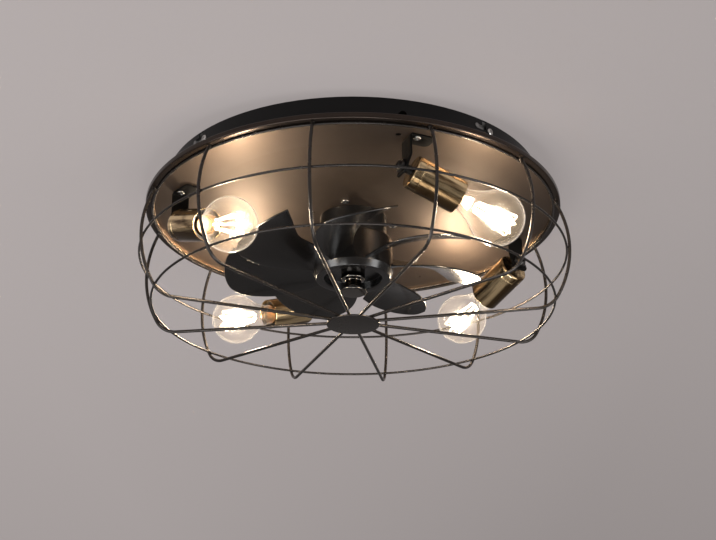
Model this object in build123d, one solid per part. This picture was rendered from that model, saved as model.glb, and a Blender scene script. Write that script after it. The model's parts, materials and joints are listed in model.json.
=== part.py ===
from build123d import *
import os
from math import asin, atan2, cos, degrees, hypot, radians, sin, tan

# Caged ceiling fan with four lamps
#
# Millimetres. The origin is the centre of the ceiling face, +Z points up into the ceiling, so
# the whole fan hangs below z = 0. A bearing is an angle about Z, counted from -Y towards +X:
# seen from below with -Y at the top it runs clockwise. Pieces that stand round the axis are
# drawn towards -Y, at bearing 0, and then turned to their bearing.

# Clearances
RUN_CLEARANCE = 0.03      # radial, shaft in its bearings
FIXED_GAP = 0.05          # radial, threads and pieces that are pressed or glued on a round seat
TOUCH_GAP = 0.1           # between wires that are welded, and faces that rest together
HOLE_CLEARANCE = 0.25     # radial, screws and nipples in their clearance holes
SLIDE_CLEARANCE = 0.3     # radial, lampholder in its cup
AIR_GAP = 0.6             # radial, stator to magnets

# Canopy drum and the reflector under it
SHEET = 1.2               # thickness of the pressed steel
RIM_R = 248.0             # outside of the rolled rim
DRUM_INSET = 24.0         # from the rim's outside in to the drum wall's outside
FLANGE_Z = -34.5          # underside of the drum's flange
RIM_INSET = 11.0          # width of the rim's flat underside
RIM_DROP = 3.2            # how far the rim hangs below the reflector
REFLECTOR_FLAT_R = 185.0  # the reflector is level outside this radius
REFLECTOR_SEAT_R = 60.0   # and level again inside this one, where the motor seats
REFLECTOR_CROWN = 4.3     # how far the middle hangs below the edge
SMALL_HOLES = ((51.0, -66.0), (207.0, 155.0))  # radius and bearing of two small open holes
SMALL_HOLE_R = 1.8
RIM_HEM = 5.0             # how far the rim's upper leg reaches over the drum's flange

# Mounting plate on the ceiling
PLATE_T = 2.0
PLATE_ARM_W = 46.0
PLATE_TAB_W = 40.0
PLATE_TAB_H = 16.0
TAB_TO_WALL = 1.3         # gap from the tab's face to the drum wall, at its middle
FIXINGS = 4               # arms, bayonet slots and side screws
FIXING_BEARING = -49.4    # bearing of the first arm
CEILING_PCD = 160.0       # circle of the four ceiling screw holes
CEILING_HOLE_R = 3.0
CABLE_HOLE_R = 15.0

# Bayonet slots and side screws in the drum wall
SLOT_W = 6.0
SLOT_DROP = 12.0          # depth of the slot below the ceiling
SLOT_TURN = -2.9          # degrees that the slot runs sideways
PIN_R = 2.6
SIDE_SCREW_TURN = 2.0     # degrees from the slot to its screw
SIDE_SCREW_Z = -11.5
SIDE_SCREW_R = 2.0
SIDE_HEAD_R = 4.0
SIDE_HEAD_H = 2.4
KNOCKOUT_BEARING = 14.0
KNOCKOUT_Z = -19.0
KNOCKOUT_R = 5.2

# Motor
MOTOR_R = 40.0            # outside of the fixed housing
MOTOR_WALL = 2.0
MOTOR_FLANGE_R = 58.0
MOTOR_FLANGE_T = 2.5
MOTOR_BOTTOM_Z = -69.0
MOTOR_SCREW_CIRCLE_R = 51.0
MOTOR_SCREW_BEARINGS = (-10.0, 110.0, 230.0)
MOTOR_SCREW_R = 2.5
MOTOR_HEAD_R = 4.6
MOTOR_HEAD_H = 2.6
BEARING_TUBE_R = 11.0
BEARING_R = 8.0           # outside of the 688 size ball bearings
BEARING_W = 5.0
SHAFT_R = 4.0
TUBE_BOTTOM_Z = -101.0
STATOR_TOP_Z = -80.0
STATOR_H = 17.0
STATOR_TEETH = 9
TOOTH_W = 7.0
TOOTH_TIP_T = 3.0         # radial thickness of a tooth's tip
COIL_T = 3.0              # thickness of the winding round a tooth

# Rotor
ROTOR_CUP_R = 45.0
ROTOR_CUP_WALL = 2.0
ROTOR_CUP_TOP_Z = -75.0
ROTOR_CUP_BOTTOM_Z = -106.5
MAGNET_T = 2.0

# Impeller
HUB_WALL = 2.5
HUB_TOP_Z = -71.0
HUB_TOP_GAP = 2.4         # radial, between the hub's opening and the fixed housing
HUB_BOTTOM_Z = -118.5
HUB_CHAMFER_Z = -110.0    # where the hub's side begins to slope in
HUB_FACE_R = 44.0         # outside of the hub's flat bottom ring
HUB_RECESS_R = 34.0
BLADES = 7
BLADE_T = 2.2
BLADE_R = 156.5           # the widest place of the blade's round end
BLADE_BEARING = -30.5     # of the first blade's pointed corner
BLADE_FRONT_Z = (-90.0, -85.5)     # height of the front edge at the hub and at the blade's end
BLADE_REAR_Z = (-109.5, -113.0)    # height of the rear edge there
BLADE_CAMBER = 0.4
# the blade's outline: how far out from hub to end, and degrees from the pointed corner
BLADE_FRONT = ((-0.01, -21.7), (0.206, -18.5), (0.39, -14.5), (0.674, -4.5), (0.867, 0.0))
BLADE_END = ((0.94, -5.5), (0.982, -12.5), (1.0, -19.5), (0.993, -26.0), (0.931, -32.5))
BLADE_REAR = ((0.83, -36.5), (0.665, -42.0), (0.482, -46.5), (0.252, -50.5), (-0.01, -55.0))
# the lines that the front and rear of the twisted surface follow: start, slope, curvature
BLADE_FRONT_LINE = (-21.5, 12.0, 14.0)
BLADE_REAR_LINE = (-54.7, 14.0, 9.3)

# Spinner nut
NUT_FLANGE_R = 16.0
NUT_WAIST_R = 9.5
NUT_RING_R = 14.0
NUT_BOTTOM_Z = -136.0

# Cage
RIB_R = 1.9
RING_R = 1.4
RIBS = 12
RIB_BEARING = -9.9
UPPER_RING_INSET = 8.8    # from the rim's outside in to the upper ring's centre line
CAGE_BULGE = 4.0          # how far the middle ring stands out past the rim
LOWER_RING_INSET = 12.7   # how far the lower ring lies inside the rim's outside
MIDDLE_RING_DROP = 56.6   # from the upper ring down to the middle one
LOWER_RING_DROP = 58.5    # and from there down to the lower one
SPOKE_DROP = 14.8         # from the lower ring down to where a rib's flat run begins
CORNER_R = 28.0           # bend of a rib below the lower ring
SPOKE_SLOPE = 0.65        # degrees, the flat run down to the centre disc
DISC_R = 31.0
DISC_T = 2.0
SPOKE_END_R = 22.0        # where the ribs end on top of the disc

# Lamps
LAMPS = 4
LAMP_INSET = 40.0         # from the rim's outside in to the middle of a cup's closed end
LAMP_BEARING = -72.5
LAMP_Z = -76.7
LAMP_DIP = 19.3           # degrees that a lamp points below level
LAMP_HEADINGS = (39.0, 24.0, 36.0, 32.0)  # how each bracket was turned on its screw
CUP_R = 19.0
CUP_L = 60.0
CUP_WALL = 1.0
CUP_CORNER_R = 3.5
CUP_GROOVE_L = 10.0       # the faint step round the cup, from its closed end
CUP_FLOOR = 1.5           # thickness of the cup's closed end
NIPPLE_R = 5.0
NIPPLE_BORE_R = 3.8
NIPPLE_GAP = 8.0          # from the cup's end to the bracket
BRACKET_W = 22.0
BRACKET_T = 2.0
BRACKET_FOOT_L = 30.0
BRACKET_BEND_R = 3.0
BRACKET_SEAT_UP = 13.0    # the seat's upper and lower reach from the lamp's axis
BRACKET_SEAT_DOWN = 11.0
BRACKET_SCREW_L = 9.5     # from the leg to the foot's screw
BRACKET_SCREW_SIDE = -5.5 # and from the strap's middle
LAMP_SCREW_R = 2.0
LAMP_HEAD_R = 4.4
LAMP_HEAD_H = 2.5
LEAD_HOLE_R = 3.5
LEAD_HOLE_BACK = 10.0     # from the bracket's leg to the lamp lead's hole behind it
NUT_ACROSS_R = 8.0        # to the nut's corners
NUT_T = 4.0
HOLDER_DEPTH = 5.0        # lampholder's rim inside the cup's mouth
HOLDER_BORE_L = 25.0
HOLDER_WEB = 4.0          # thickness of the floor under the socket
CAP_R = 13.0
CAP_CUP = 9.0             # depth of the cap's hollow, where the glass is cemented in
GLASS_T = 0.8
BULB_R = 31.5
BULB_CENTRE = 48.5        # from the cup's mouth to the middle of the bulb
BULB_NECK_R = 13.2
FILAMENTS = 6
FILAMENT_R = 1.0
FILAMENT_LOW_R = 6.0      # from the bulb's axis to a filament's lower end
FILAMENT_HIGH_R = 12.5    # and to its upper end
FILAMENT_START = 22.0     # from the cup's mouth to the filaments
FILAMENT_END = 66.0

# Control box and terminal block in the drum
BOX_L = 120.0
BOX_W = 46.0
BOX_H = 20.0
BOX_LID_T = 2.0
BOX_RADIUS = 128.0        # from the axis to the box's middle
BOX_BEARING = 195.0
TERMINAL_L = 36.0
TERMINAL_W = 18.0
TERMINAL_H = 13.0
TERMINAL_POLES = 3
TERMINAL_PLACE = 34.0     # from the axis, along the first arm

# Worked out from the sizes above
DRUM_R = RIM_R - DRUM_INSET                     # outside of the drum wall
LAMP_CIRCLE_R = RIM_R - LAMP_INSET
REFLECTOR_Z = FLANGE_Z - SHEET                  # underside at the edge
REFLECTOR_SEAT_Z = REFLECTOR_Z - REFLECTOR_CROWN
RIM_Z = REFLECTOR_Z - RIM_DROP                  # underside of the rim
FLANGE_R = RIM_R - SHEET - TOUCH_GAP
MOTOR_FLANGE_TOP_Z = REFLECTOR_SEAT_Z + SHEET + MOTOR_FLANGE_T
HUB_R = ROTOR_CUP_R + HUB_WALL
HUB_TOP_R = MOTOR_R + HUB_TOP_GAP               # the opening round the fixed housing
STATOR_R = ROTOR_CUP_R - ROTOR_CUP_WALL - MAGNET_T - AIR_GAP
TAB_R = DRUM_R - SHEET - TAB_TO_WALL            # outer face of a tab
STATOR_BOTTOM_Z = STATOR_TOP_Z - STATOR_H
UPPER_BEARING_Z = MOTOR_BOTTOM_Z - BEARING_W / 2
LOWER_BEARING_Z = TUBE_BOTTOM_Z + BEARING_W / 2
SHAFT_TOP_Z = MOTOR_BOTTOM_Z + 3
THREAD_R = SHAFT_R - 0.6                        # the shaft's thread, in the spinner nut
THREAD_TOP_Z = HUB_BOTTOM_Z + 6
THREAD_END_Z = NUT_BOTTOM_Z + 6
# a cage ring's centre line: its radius and its height
UPPER_RING = (RIM_R - UPPER_RING_INSET, RIM_Z - TOUCH_GAP - RING_R)
MIDDLE_RING = (RIM_R + CAGE_BULGE, UPPER_RING[1] - MIDDLE_RING_DROP)
LOWER_RING = (RIM_R - LOWER_RING_INSET, MIDDLE_RING[1] - LOWER_RING_DROP)
SPOKE_Z = LOWER_RING[1] - SPOKE_DROP            # height of a rib where its flat run begins


def at_bearing(shape, bearing):
    """Turns a shape drawn towards -Y to its bearing about the fan's axis."""
    return Rot(0, 0, bearing) * shape


def spin_face(points):
    """A solid of revolution about Z from its half outline of (radius, height) points."""
    return revolve(Plane.XZ * make_face(Polyline(*points, close=True)), Axis.Z)


def ring(outer, inner, low, high):
    """A plain ring about Z."""
    return Pos(0, 0, (low + high) / 2) * (
        Cylinder(outer, high - low) - Cylinder(inner, high - low)
    )


def radial_rod(radius, r_from, r_to, z):
    """A round rod along the radius at bearing 0."""
    rod = Cylinder(radius, r_to - r_from)
    return Pos(0, -(r_from + r_to) / 2, z) * Rot(90, 0, 0) * rod


def pan_head(head_r, head_h, shank_r, shank_l):
    """A pan-head screw along Z: the head's flat is at z = 0 and the shank runs up."""
    crown = 0.55
    head = spin_face([(0, 0), (head_r, 0), (head_r, -head_h * crown),
                      (head_r * 0.72, -head_h * 0.9), (0, -head_h)])
    shank = Pos(0, 0, shank_l / 2) * Cylinder(shank_r, shank_l)
    recess_l = head_r * 1.0
    recess_w = head_r * 0.26
    recess = Pos(0, 0, -head_h) * (Box(recess_l, recess_w, head_h) + Box(recess_w, recess_l, head_h))
    return head + shank - recess


# Canopy

def fixing_bearings():
    """Bearings of the arms, the bayonet slots and the side screws."""
    return [FIXING_BEARING + 360 / FIXINGS * k for k in range(FIXINGS)]


def mounting_plate():
    """A pressed cross with four turned-down tabs, each with a bayonet pin and a screw hole."""
    arm = Pos(0, 0, -PLATE_T / 2) * Box(PLATE_ARM_W, 2 * TAB_R - PLATE_T, PLATE_T)
    plate = arm + Rot(0, 0, 90) * arm
    plate -= Pos(0, 0, -PLATE_T / 2) * Cylinder(CABLE_HOLE_R, PLATE_T)
    hole = Pos(0, -CEILING_PCD / 2, -PLATE_T / 2) * Cylinder(CEILING_HOLE_R, PLATE_T)
    tab = Pos(0, PLATE_T / 2 - TAB_R, -PLATE_TAB_H / 2) * Box(PLATE_TAB_W, PLATE_T, PLATE_TAB_H)
    pin_z = -(SLOT_DROP - SLOT_W / 2)
    pin = at_bearing(radial_rod(PIN_R, TAB_R - 1, DRUM_R + 0.6, pin_z), SLOT_TURN)
    thread = radial_rod(SIDE_SCREW_R + FIXED_GAP, TAB_R - 3 * PLATE_T, TAB_R + PLATE_T, SIDE_SCREW_Z)
    for k in range(FIXINGS):
        turn = 360 / FIXINGS * k
        plate += at_bearing(tab + pin, turn)
        plate -= at_bearing(hole, turn)
        plate -= at_bearing(thread, turn + SIDE_SCREW_TURN)
    return at_bearing(plate, FIXING_BEARING)


def canopy_drum():
    """The black drum: a spun wall with a flat flange, and its bayonet slots and holes."""
    wall_in = DRUM_R - SHEET
    bend = 3 * SHEET
    flange_top = FLANGE_Z + SHEET
    drum = spin_face([
        (wall_in, 0), (DRUM_R, 0), (DRUM_R, flange_top + bend),
        (DRUM_R + 0.3 * bend, flange_top + 0.3 * bend), (DRUM_R + bend, flange_top),
        (FLANGE_R, flange_top), (FLANGE_R, FLANGE_Z),
        (DRUM_R + bend - SHEET, FLANGE_Z), (wall_in + 0.3 * bend, FLANGE_Z + 0.3 * bend),
        (wall_in, FLANGE_Z + bend),
    ])
    deep = 4 * SHEET
    slot_z = SLOT_W / 2 - SLOT_DROP
    entry = Pos(0, -DRUM_R, -SLOT_DROP / 2) * Box(SLOT_W, deep, SLOT_DROP)
    run_l = radians(abs(SLOT_TURN)) * DRUM_R
    run = Pos(0, -DRUM_R, slot_z) * Box(run_l, deep, SLOT_W)
    end = radial_rod(SLOT_W / 2, DRUM_R - deep, DRUM_R + deep, slot_z)
    slot = entry + at_bearing(run, SLOT_TURN / 2) + at_bearing(end, SLOT_TURN)
    screw_r = SIDE_SCREW_R + HOLE_CLEARANCE
    screw_hole = radial_rod(screw_r, DRUM_R - deep, DRUM_R + deep, SIDE_SCREW_Z)
    for bearing in fixing_bearings():
        drum -= at_bearing(slot, bearing)
        drum -= at_bearing(screw_hole, bearing + SIDE_SCREW_TURN)
    knockout = radial_rod(KNOCKOUT_R, DRUM_R - deep, DRUM_R + deep, KNOCKOUT_Z)
    return drum - at_bearing(knockout, KNOCKOUT_BEARING)


def canopy_screws():
    """The four side screws, their heads against the drum wall."""
    shank = DRUM_R - TAB_R + PLATE_T
    screw = pan_head(SIDE_HEAD_R, SIDE_HEAD_H, SIDE_SCREW_R, shank)
    screw = Pos(0, -DRUM_R - TOUCH_GAP, SIDE_SCREW_Z) * Rot(-90, 0, 0) * screw
    return [at_bearing(screw, b + SIDE_SCREW_TURN) for b in fixing_bearings()]


def reflector_height(r):
    """Height of the reflector's underside at a radius."""
    if r >= REFLECTOR_FLAT_R:
        return REFLECTOR_Z
    if r <= REFLECTOR_SEAT_R:
        return REFLECTOR_SEAT_Z
    share = (REFLECTOR_FLAT_R - r) / (REFLECTOR_FLAT_R - REFLECTOR_SEAT_R)
    return REFLECTOR_Z - REFLECTOR_CROWN * share


def reflector():
    """The slightly crowned disc, with the motor hole and the screw holes."""
    stations = [FLANGE_R, REFLECTOR_FLAT_R, REFLECTOR_SEAT_R, MOTOR_R + TOUCH_GAP]
    under = [(r, reflector_height(r)) for r in stations]
    over = [(r, z + SHEET) for r, z in reversed(under)]
    disc = spin_face(under + over)
    deep = 6 * SHEET
    screw_hole = Pos(0, -MOTOR_SCREW_CIRCLE_R, REFLECTOR_SEAT_Z)
    screw_hole *= Cylinder(MOTOR_SCREW_R + HOLE_CLEARANCE, deep)
    for bearing in MOTOR_SCREW_BEARINGS:
        disc -= at_bearing(screw_hole, bearing)
    for radius, bearing in SMALL_HOLES:
        hole = Pos(0, -radius, reflector_height(radius)) * Cylinder(SMALL_HOLE_R, deep)
        disc -= at_bearing(hole, bearing)
    for k in range(LAMPS):
        disc -= lamp_place(k) * bracket_screw_place() * Cylinder(LAMP_SCREW_R + HOLE_CLEARANCE, deep)
        disc -= lamp_place(k) * lead_hole_place() * Cylinder(LEAD_HOLE_R, deep)
    return disc


def rim_ring():
    """The rolled rim: a hollow bead of bent sheet that clasps the flange and the reflector."""
    inner = RIM_R - RIM_INSET
    lip_in = RIM_R - RIM_HEM
    top = FLANGE_Z + SHEET + TOUCH_GAP
    low = RIM_Z
    seat = REFLECTOR_Z
    soft = 1.2
    return spin_face([
        (lip_in, top), (lip_in, top + SHEET), (RIM_R - soft, top + SHEET), (RIM_R, top + SHEET - soft),
        (RIM_R, low + soft), (RIM_R - soft, low), (inner + soft, low), (inner, low + soft),
        (inner, seat), (inner + SHEET, seat), (inner + SHEET, low + SHEET + 0.3),
        (inner + SHEET + 0.3, low + SHEET), (RIM_R - SHEET - 0.3, low + SHEET),
        (RIM_R - SHEET, low + SHEET + 0.3), (RIM_R - SHEET, top),
    ])


# Motor

def motor_housing():
    """The fixed cylinder: a flange on the reflector, a closed bottom and the bearing tube."""
    seat = REFLECTOR_SEAT_Z + SHEET
    top = MOTOR_FLANGE_TOP_Z
    bore = BEARING_R + FIXED_GAP
    core = SHAFT_R + 1.5
    step_top = UPPER_BEARING_Z - BEARING_W / 2
    step_low = LOWER_BEARING_Z + BEARING_W / 2
    floor = MOTOR_BOTTOM_Z + 2.5
    housing = spin_face([
        (MOTOR_R - MOTOR_WALL, top), (MOTOR_FLANGE_R, top), (MOTOR_FLANGE_R, seat), (MOTOR_R, seat),
        (MOTOR_R, MOTOR_BOTTOM_Z + 1.5), (MOTOR_R - 1.5, MOTOR_BOTTOM_Z),
        (BEARING_TUBE_R, MOTOR_BOTTOM_Z), (BEARING_TUBE_R, TUBE_BOTTOM_Z), (bore, TUBE_BOTTOM_Z),
        (bore, step_low), (core, step_low), (core, step_top), (bore, step_top), (bore, floor),
        (MOTOR_R - MOTOR_WALL, floor),
    ])
    hole = Pos(0, -MOTOR_SCREW_CIRCLE_R, seat)
    hole *= Cylinder(MOTOR_SCREW_R + FIXED_GAP, 6 * MOTOR_FLANGE_T)
    for bearing in MOTOR_SCREW_BEARINGS:
        housing -= at_bearing(hole, bearing)
    return housing


def motor_screws():
    """Three pan-head screws through the reflector into the motor's flange."""
    shank = SHEET + MOTOR_FLANGE_T + 2
    screw = Rot(0, 0, 20) * pan_head(MOTOR_HEAD_R, MOTOR_HEAD_H, MOTOR_SCREW_R, shank)
    screw = Pos(0, -MOTOR_SCREW_CIRCLE_R, REFLECTOR_SEAT_Z) * screw
    return [at_bearing(screw, b) for b in MOTOR_SCREW_BEARINGS]


def stator_core():
    """The laminated core: a back ring on the bearing tube and nine T-shaped teeth."""
    middle = (STATOR_TOP_Z + STATOR_BOTTOM_Z) / 2
    hub = Cylinder(BEARING_TUBE_R + 6, STATOR_H)
    rim = Cylinder(STATOR_R, STATOR_H) - Cylinder(STATOR_R - TOOTH_TIP_T, STATOR_H)
    slot_mouth = Pos(0, -STATOR_R, 0) * Box(3, 4 * TOOTH_TIP_T, STATOR_H)
    tooth_l = STATOR_R - TOOTH_TIP_T - BEARING_TUBE_R
    tooth = Pos(0, -(BEARING_TUBE_R + tooth_l / 2), 0) * Box(TOOTH_W, tooth_l + 2, STATOR_H)
    core = hub + rim
    for k in range(STATOR_TEETH):
        core += at_bearing(tooth, 360 / STATOR_TEETH * k)
        core -= at_bearing(slot_mouth, 360 / STATOR_TEETH * (k + 0.5))
    core -= Cylinder(BEARING_TUBE_R + FIXED_GAP, STATOR_H)
    return Pos(0, 0, middle) * core


def stator_coils():
    """One winding round each tooth, as a closed band of the wound wire."""
    middle = (STATOR_TOP_Z + STATOR_BOTTOM_Z) / 2
    coil_in = BEARING_TUBE_R + 9
    coil_out = STATOR_R - TOOTH_TIP_T - 0.6
    coil_l = coil_out - coil_in
    band = Box(TOOTH_W + 2 * COIL_T, coil_l, STATOR_H + 2 * COIL_T)
    band = fillet(band.edges().filter_by(Axis.Y), COIL_T * 0.8)
    band -= Box(TOOTH_W + 2 * TOUCH_GAP, coil_l, STATOR_H + 2 * TOUCH_GAP)
    band = Pos(0, -(coil_in + coil_out) / 2, middle) * band
    return [at_bearing(band, 360 / STATOR_TEETH * k) for k in range(STATOR_TEETH)]


def ball_bearing(z):
    """A shielded ball bearing, as one closed ring."""
    return ring(BEARING_R, SHAFT_R + RUN_CLEARANCE, z - BEARING_W / 2, z + BEARING_W / 2)


def shaft():
    """The motor shaft, with a clip groove at its top and a thread for the spinner nut below."""
    groove_r = SHAFT_R - 0.6
    return spin_face([
        (0, SHAFT_TOP_Z), (SHAFT_R - 0.5, SHAFT_TOP_Z), (SHAFT_R, SHAFT_TOP_Z - 0.5),
        (SHAFT_R, SHAFT_TOP_Z - 2), (groove_r, SHAFT_TOP_Z - 2), (groove_r, SHAFT_TOP_Z - 3),
        (SHAFT_R, SHAFT_TOP_Z - 3), (SHAFT_R, THREAD_TOP_Z), (THREAD_R, THREAD_TOP_Z),
        (THREAD_R, THREAD_END_Z), (0, THREAD_END_Z),
    ])


def shaft_clip():
    """The snap ring in the shaft's groove, just above the upper bearing."""
    low = SHAFT_TOP_Z - 3 + TOUCH_GAP
    clip = ring(SHAFT_R + 2, SHAFT_R - 0.5, low, low + 0.8)
    return clip - Pos(0, -SHAFT_R - 1, low) * Box(3, SHAFT_R, 4)


# Rotor

def rotor_cup():
    """The steel cup round the stator, fixed to the shaft by its boss."""
    bore = SHAFT_R + FIXED_GAP
    inner = ROTOR_CUP_R - ROTOR_CUP_WALL
    floor = ROTOR_CUP_BOTTOM_Z + ROTOR_CUP_WALL
    boss_r = SHAFT_R + 2
    boss_top = TUBE_BOTTOM_Z - TOUCH_GAP
    return spin_face([
        (bore, boss_top), (boss_r, boss_top), (boss_r, floor), (inner, floor),
        (inner, ROTOR_CUP_TOP_Z), (ROTOR_CUP_R, ROTOR_CUP_TOP_Z),
        (ROTOR_CUP_R, ROTOR_CUP_BOTTOM_Z), (bore, ROTOR_CUP_BOTTOM_Z),
    ])


def magnet_ring():
    """The ring magnet inside the rotor cup."""
    outer = ROTOR_CUP_R - ROTOR_CUP_WALL
    return ring(outer - FIXED_GAP, outer - MAGNET_T, STATOR_BOTTOM_Z - 1, STATOR_TOP_Z + 1)


def impeller_hub():
    """The moulded hub: a skirt over the rotor cup, a shoulder, a flat ring and a recess with a web."""
    bore = SHAFT_R + FIXED_GAP
    skirt_in = ROTOR_CUP_R + FIXED_GAP
    web_top = ROTOR_CUP_BOTTOM_Z
    web_low = web_top - HUB_WALL
    recess_out = HUB_RECESS_R + HUB_WALL
    soft = 3.0
    return spin_face([
        (HUB_TOP_R, HUB_TOP_Z), (HUB_R - soft, HUB_TOP_Z),
        (HUB_R - 0.3 * soft, HUB_TOP_Z - 0.3 * soft), (HUB_R, HUB_TOP_Z - soft), (HUB_R, HUB_CHAMFER_Z),
        (HUB_FACE_R, HUB_BOTTOM_Z), (HUB_RECESS_R + 1, HUB_BOTTOM_Z), (HUB_RECESS_R, HUB_BOTTOM_Z + 1),
        (HUB_RECESS_R, web_low), (bore, web_low), (bore, web_top), (recess_out, web_top),
        (recess_out, HUB_BOTTOM_Z + HUB_WALL), (HUB_FACE_R - HUB_WALL, HUB_BOTTOM_Z + HUB_WALL),
        (skirt_in, HUB_CHAMFER_Z + 2), (skirt_in, ROTOR_CUP_TOP_Z + TOUCH_GAP),
        (HUB_TOP_R, ROTOR_CUP_TOP_Z + TOUCH_GAP),
    ])


def blade_point(share, chord):
    """
    A point of the blade's twisted middle surface. Share runs from 0 at the hub to 1 at the end,
    chord from 0 at the front edge, which is high, to 1 at the rear edge, which is low.
    """
    top = BLADE_FRONT_Z[0] + (BLADE_FRONT_Z[1] - BLADE_FRONT_Z[0]) * share
    low = BLADE_REAR_Z[0] + (BLADE_REAR_Z[1] - BLADE_REAR_Z[0]) * share
    fall = chord + BLADE_CAMBER * chord * (1 - chord)
    start, slope, curve = BLADE_FRONT_LINE
    front = start + share * (slope + curve * share)
    start, slope, curve = BLADE_REAR_LINE
    rear = start + share * (slope + curve * share)
    x, y = plan_point(share, front + chord * (rear - front))
    return Vector(x, y, top + (low - top) * fall)


def plan_point(share, bearing):
    """A point of the blade seen from above, from its share of the length and its bearing."""
    r = HUB_R + (BLADE_R - HUB_R) * share
    return (r * sin(radians(bearing)), -r * cos(radians(bearing)))


def blade_outline():
    """The blade's outline seen from above: front edge, round end with rear edge, and root."""
    corner = BLADE_FRONT[-1]
    front = Spline(*[plan_point(*p) for p in BLADE_FRONT])
    rear = Spline(*[plan_point(*p) for p in (corner,) + BLADE_END + BLADE_REAR])
    root = Line(plan_point(*BLADE_REAR[-1]), plan_point(*BLADE_FRONT[0]))
    return make_face(Curve() + [front, rear, root])


def blade():
    """One blade: a twisted, cambered sheet cut to the outline."""
    shares = [-0.06 + 1.12 * i / 7 for i in range(8)]
    chords = [-0.3 + 1.6 * j / 9 for j in range(10)]
    points = [[blade_point(share, chord) for chord in chords] for share in shares]
    sheet = thicken(Face.make_surface_from_array_of_points(points), BLADE_T / 2, both=True)
    column = Pos(0, 0, BLADE_REAR_Z[1] - 30) * extrude(blade_outline(), amount=100)
    return sheet & column


def impeller():
    """The moulding of hub and blades."""
    one = blade()
    blades = [at_bearing(one, BLADE_BEARING + 360 / BLADES * k) for k in range(BLADES)]
    return impeller_hub() + blades - spin_face([
        (0, ROTOR_CUP_TOP_Z), (ROTOR_CUP_R + FIXED_GAP, ROTOR_CUP_TOP_Z),
        (ROTOR_CUP_R + FIXED_GAP, ROTOR_CUP_BOTTOM_Z), (0, ROTOR_CUP_BOTTOM_Z),
    ])


def spinner_nut():
    """The polished, stepped nut that holds the impeller on the shaft."""
    top = ROTOR_CUP_BOTTOM_Z - HUB_WALL
    bore = SHAFT_R + FIXED_GAP
    thread = THREAD_R + FIXED_GAP
    bottom = NUT_BOTTOM_Z
    return spin_face([
        (bore, top), (NUT_RING_R, top), (NUT_RING_R, top - 10), (NUT_RING_R - 1.5, top - 11.5),
        (NUT_WAIST_R, top - 12), (NUT_WAIST_R, bottom + 7), (NUT_WAIST_R + 1.5, bottom + 4.5),
        (NUT_FLANGE_R - 1, bottom + 3.5), (NUT_FLANGE_R, bottom + 2.5), (NUT_FLANGE_R, bottom + 1),
        (NUT_FLANGE_R - 1, bottom), (0, bottom), (0, THREAD_END_Z - TOUCH_GAP),
        (thread, THREAD_END_Z - TOUCH_GAP), (thread, THREAD_TOP_Z - TOUCH_GAP),
        (bore, THREAD_TOP_Z - TOUCH_GAP),
    ])


# Cage

def side_circle():
    """Centre and radius of the circle through the three ring centres, in (radius, height)."""
    (ax, ay), (bx, by), (cx, cy) = UPPER_RING, MIDDLE_RING, LOWER_RING
    d = 2 * (ax * (by - cy) + bx * (cy - ay) + cx * (ay - by))
    ux = ((ax**2 + ay**2) * (by - cy) + (bx**2 + by**2) * (cy - ay) + (cx**2 + cy**2) * (ay - by)) / d
    uy = ((ax**2 + ay**2) * (cx - bx) + (bx**2 + by**2) * (ax - cx) + (cx**2 + cy**2) * (bx - ax)) / d
    return ux, uy, hypot(ax - ux, ay - uy)


def cage_ring(place):
    """One ring of the cage, a wire circle."""
    radius, height = place
    return Pos(0, 0, height) * Torus(radius, RING_R)


def rib_path():
    """Centre line of a rib in the XZ plane: the bowed side, the lower corner and the flat run."""
    cx, cy, ring_radius = side_circle()
    bow = ring_radius + RING_R + RIB_R + TOUCH_GAP

    def on_bow(angle):
        return (cx + bow * cos(angle), cy + bow * sin(angle))

    # the corner's bend is tangent to the bow, and stops when it points along the flat run
    last = -radians(90 - SPOKE_SLOPE)
    by = SPOKE_Z - CORNER_R * sin(last)
    end = asin((by - cy) / (bow - CORNER_R))
    bx = cx + (bow - CORNER_R) * cos(end)
    start = asin((RIM_Z + RIB_R - cy) / bow)
    p0, p1, p2 = on_bow(start), on_bow((start + end) / 2), on_bow(end)
    mid = (end + last) / 2
    p3 = (bx + CORNER_R * cos(mid), by + CORNER_R * sin(mid))
    p4 = (bx + CORNER_R * cos(last), by + CORNER_R * sin(last))
    run = p4[0] - SPOKE_END_R
    p5 = (SPOKE_END_R, p4[1] - run * tan(radians(SPOKE_SLOPE)))
    return p0, p1, p2, p3, p4, p5


def disc_top():
    """Height of the centre disc's top face, just under the ends of the ribs."""
    return rib_path()[-1][1] - RIB_R - TOUCH_GAP


def rib():
    """One rib at bearing 0: a swept wire, cut level where it meets the rim."""
    p0, p1, p2, p3, p4, p5 = [Vector(0, -r, z) for r, z in rib_path()]
    bow = Edge.make_three_point_arc(p0, p1, p2)
    corner = Edge.make_three_point_arc(p2, p3, p4)
    path = Wire([bow, corner, Edge.make_line(p4, p5)])
    section = Plane(origin=path @ 0, z_dir=path % 0) * Circle(RIB_R)
    above_rim = Pos(0, -RIM_R, RIM_Z + 10) * Box(40, 60, 20)
    return sweep(section, path=path) - above_rim


def cage_rib_pair(k):
    """Two opposite ribs of the cage."""
    bearing = RIB_BEARING + 360 / RIBS * k
    one = rib()
    return [at_bearing(one, bearing), at_bearing(one, bearing + 180)]


def cage_disc():
    """The disc that the ribs are welded to, at the bottom of the cage."""
    top = disc_top()
    soft = 0.6
    return spin_face([(0, top), (DISC_R, top), (DISC_R, top - DISC_T + soft),
                      (DISC_R - soft, top - DISC_T), (0, top - DISC_T)])


# Lamps

def lamp_place(k):
    """Place of lamp k: the middle of its cup's closed end, with X along its level heading."""
    turn = 360 / LAMPS * k
    place = Rot(0, 0, LAMP_BEARING + turn) * Pos(0, -LAMP_CIRCLE_R, LAMP_Z)
    heading = LAMP_HEADINGS[k] - 90 - LAMP_BEARING
    return place * Rot(0, 0, heading)


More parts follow.
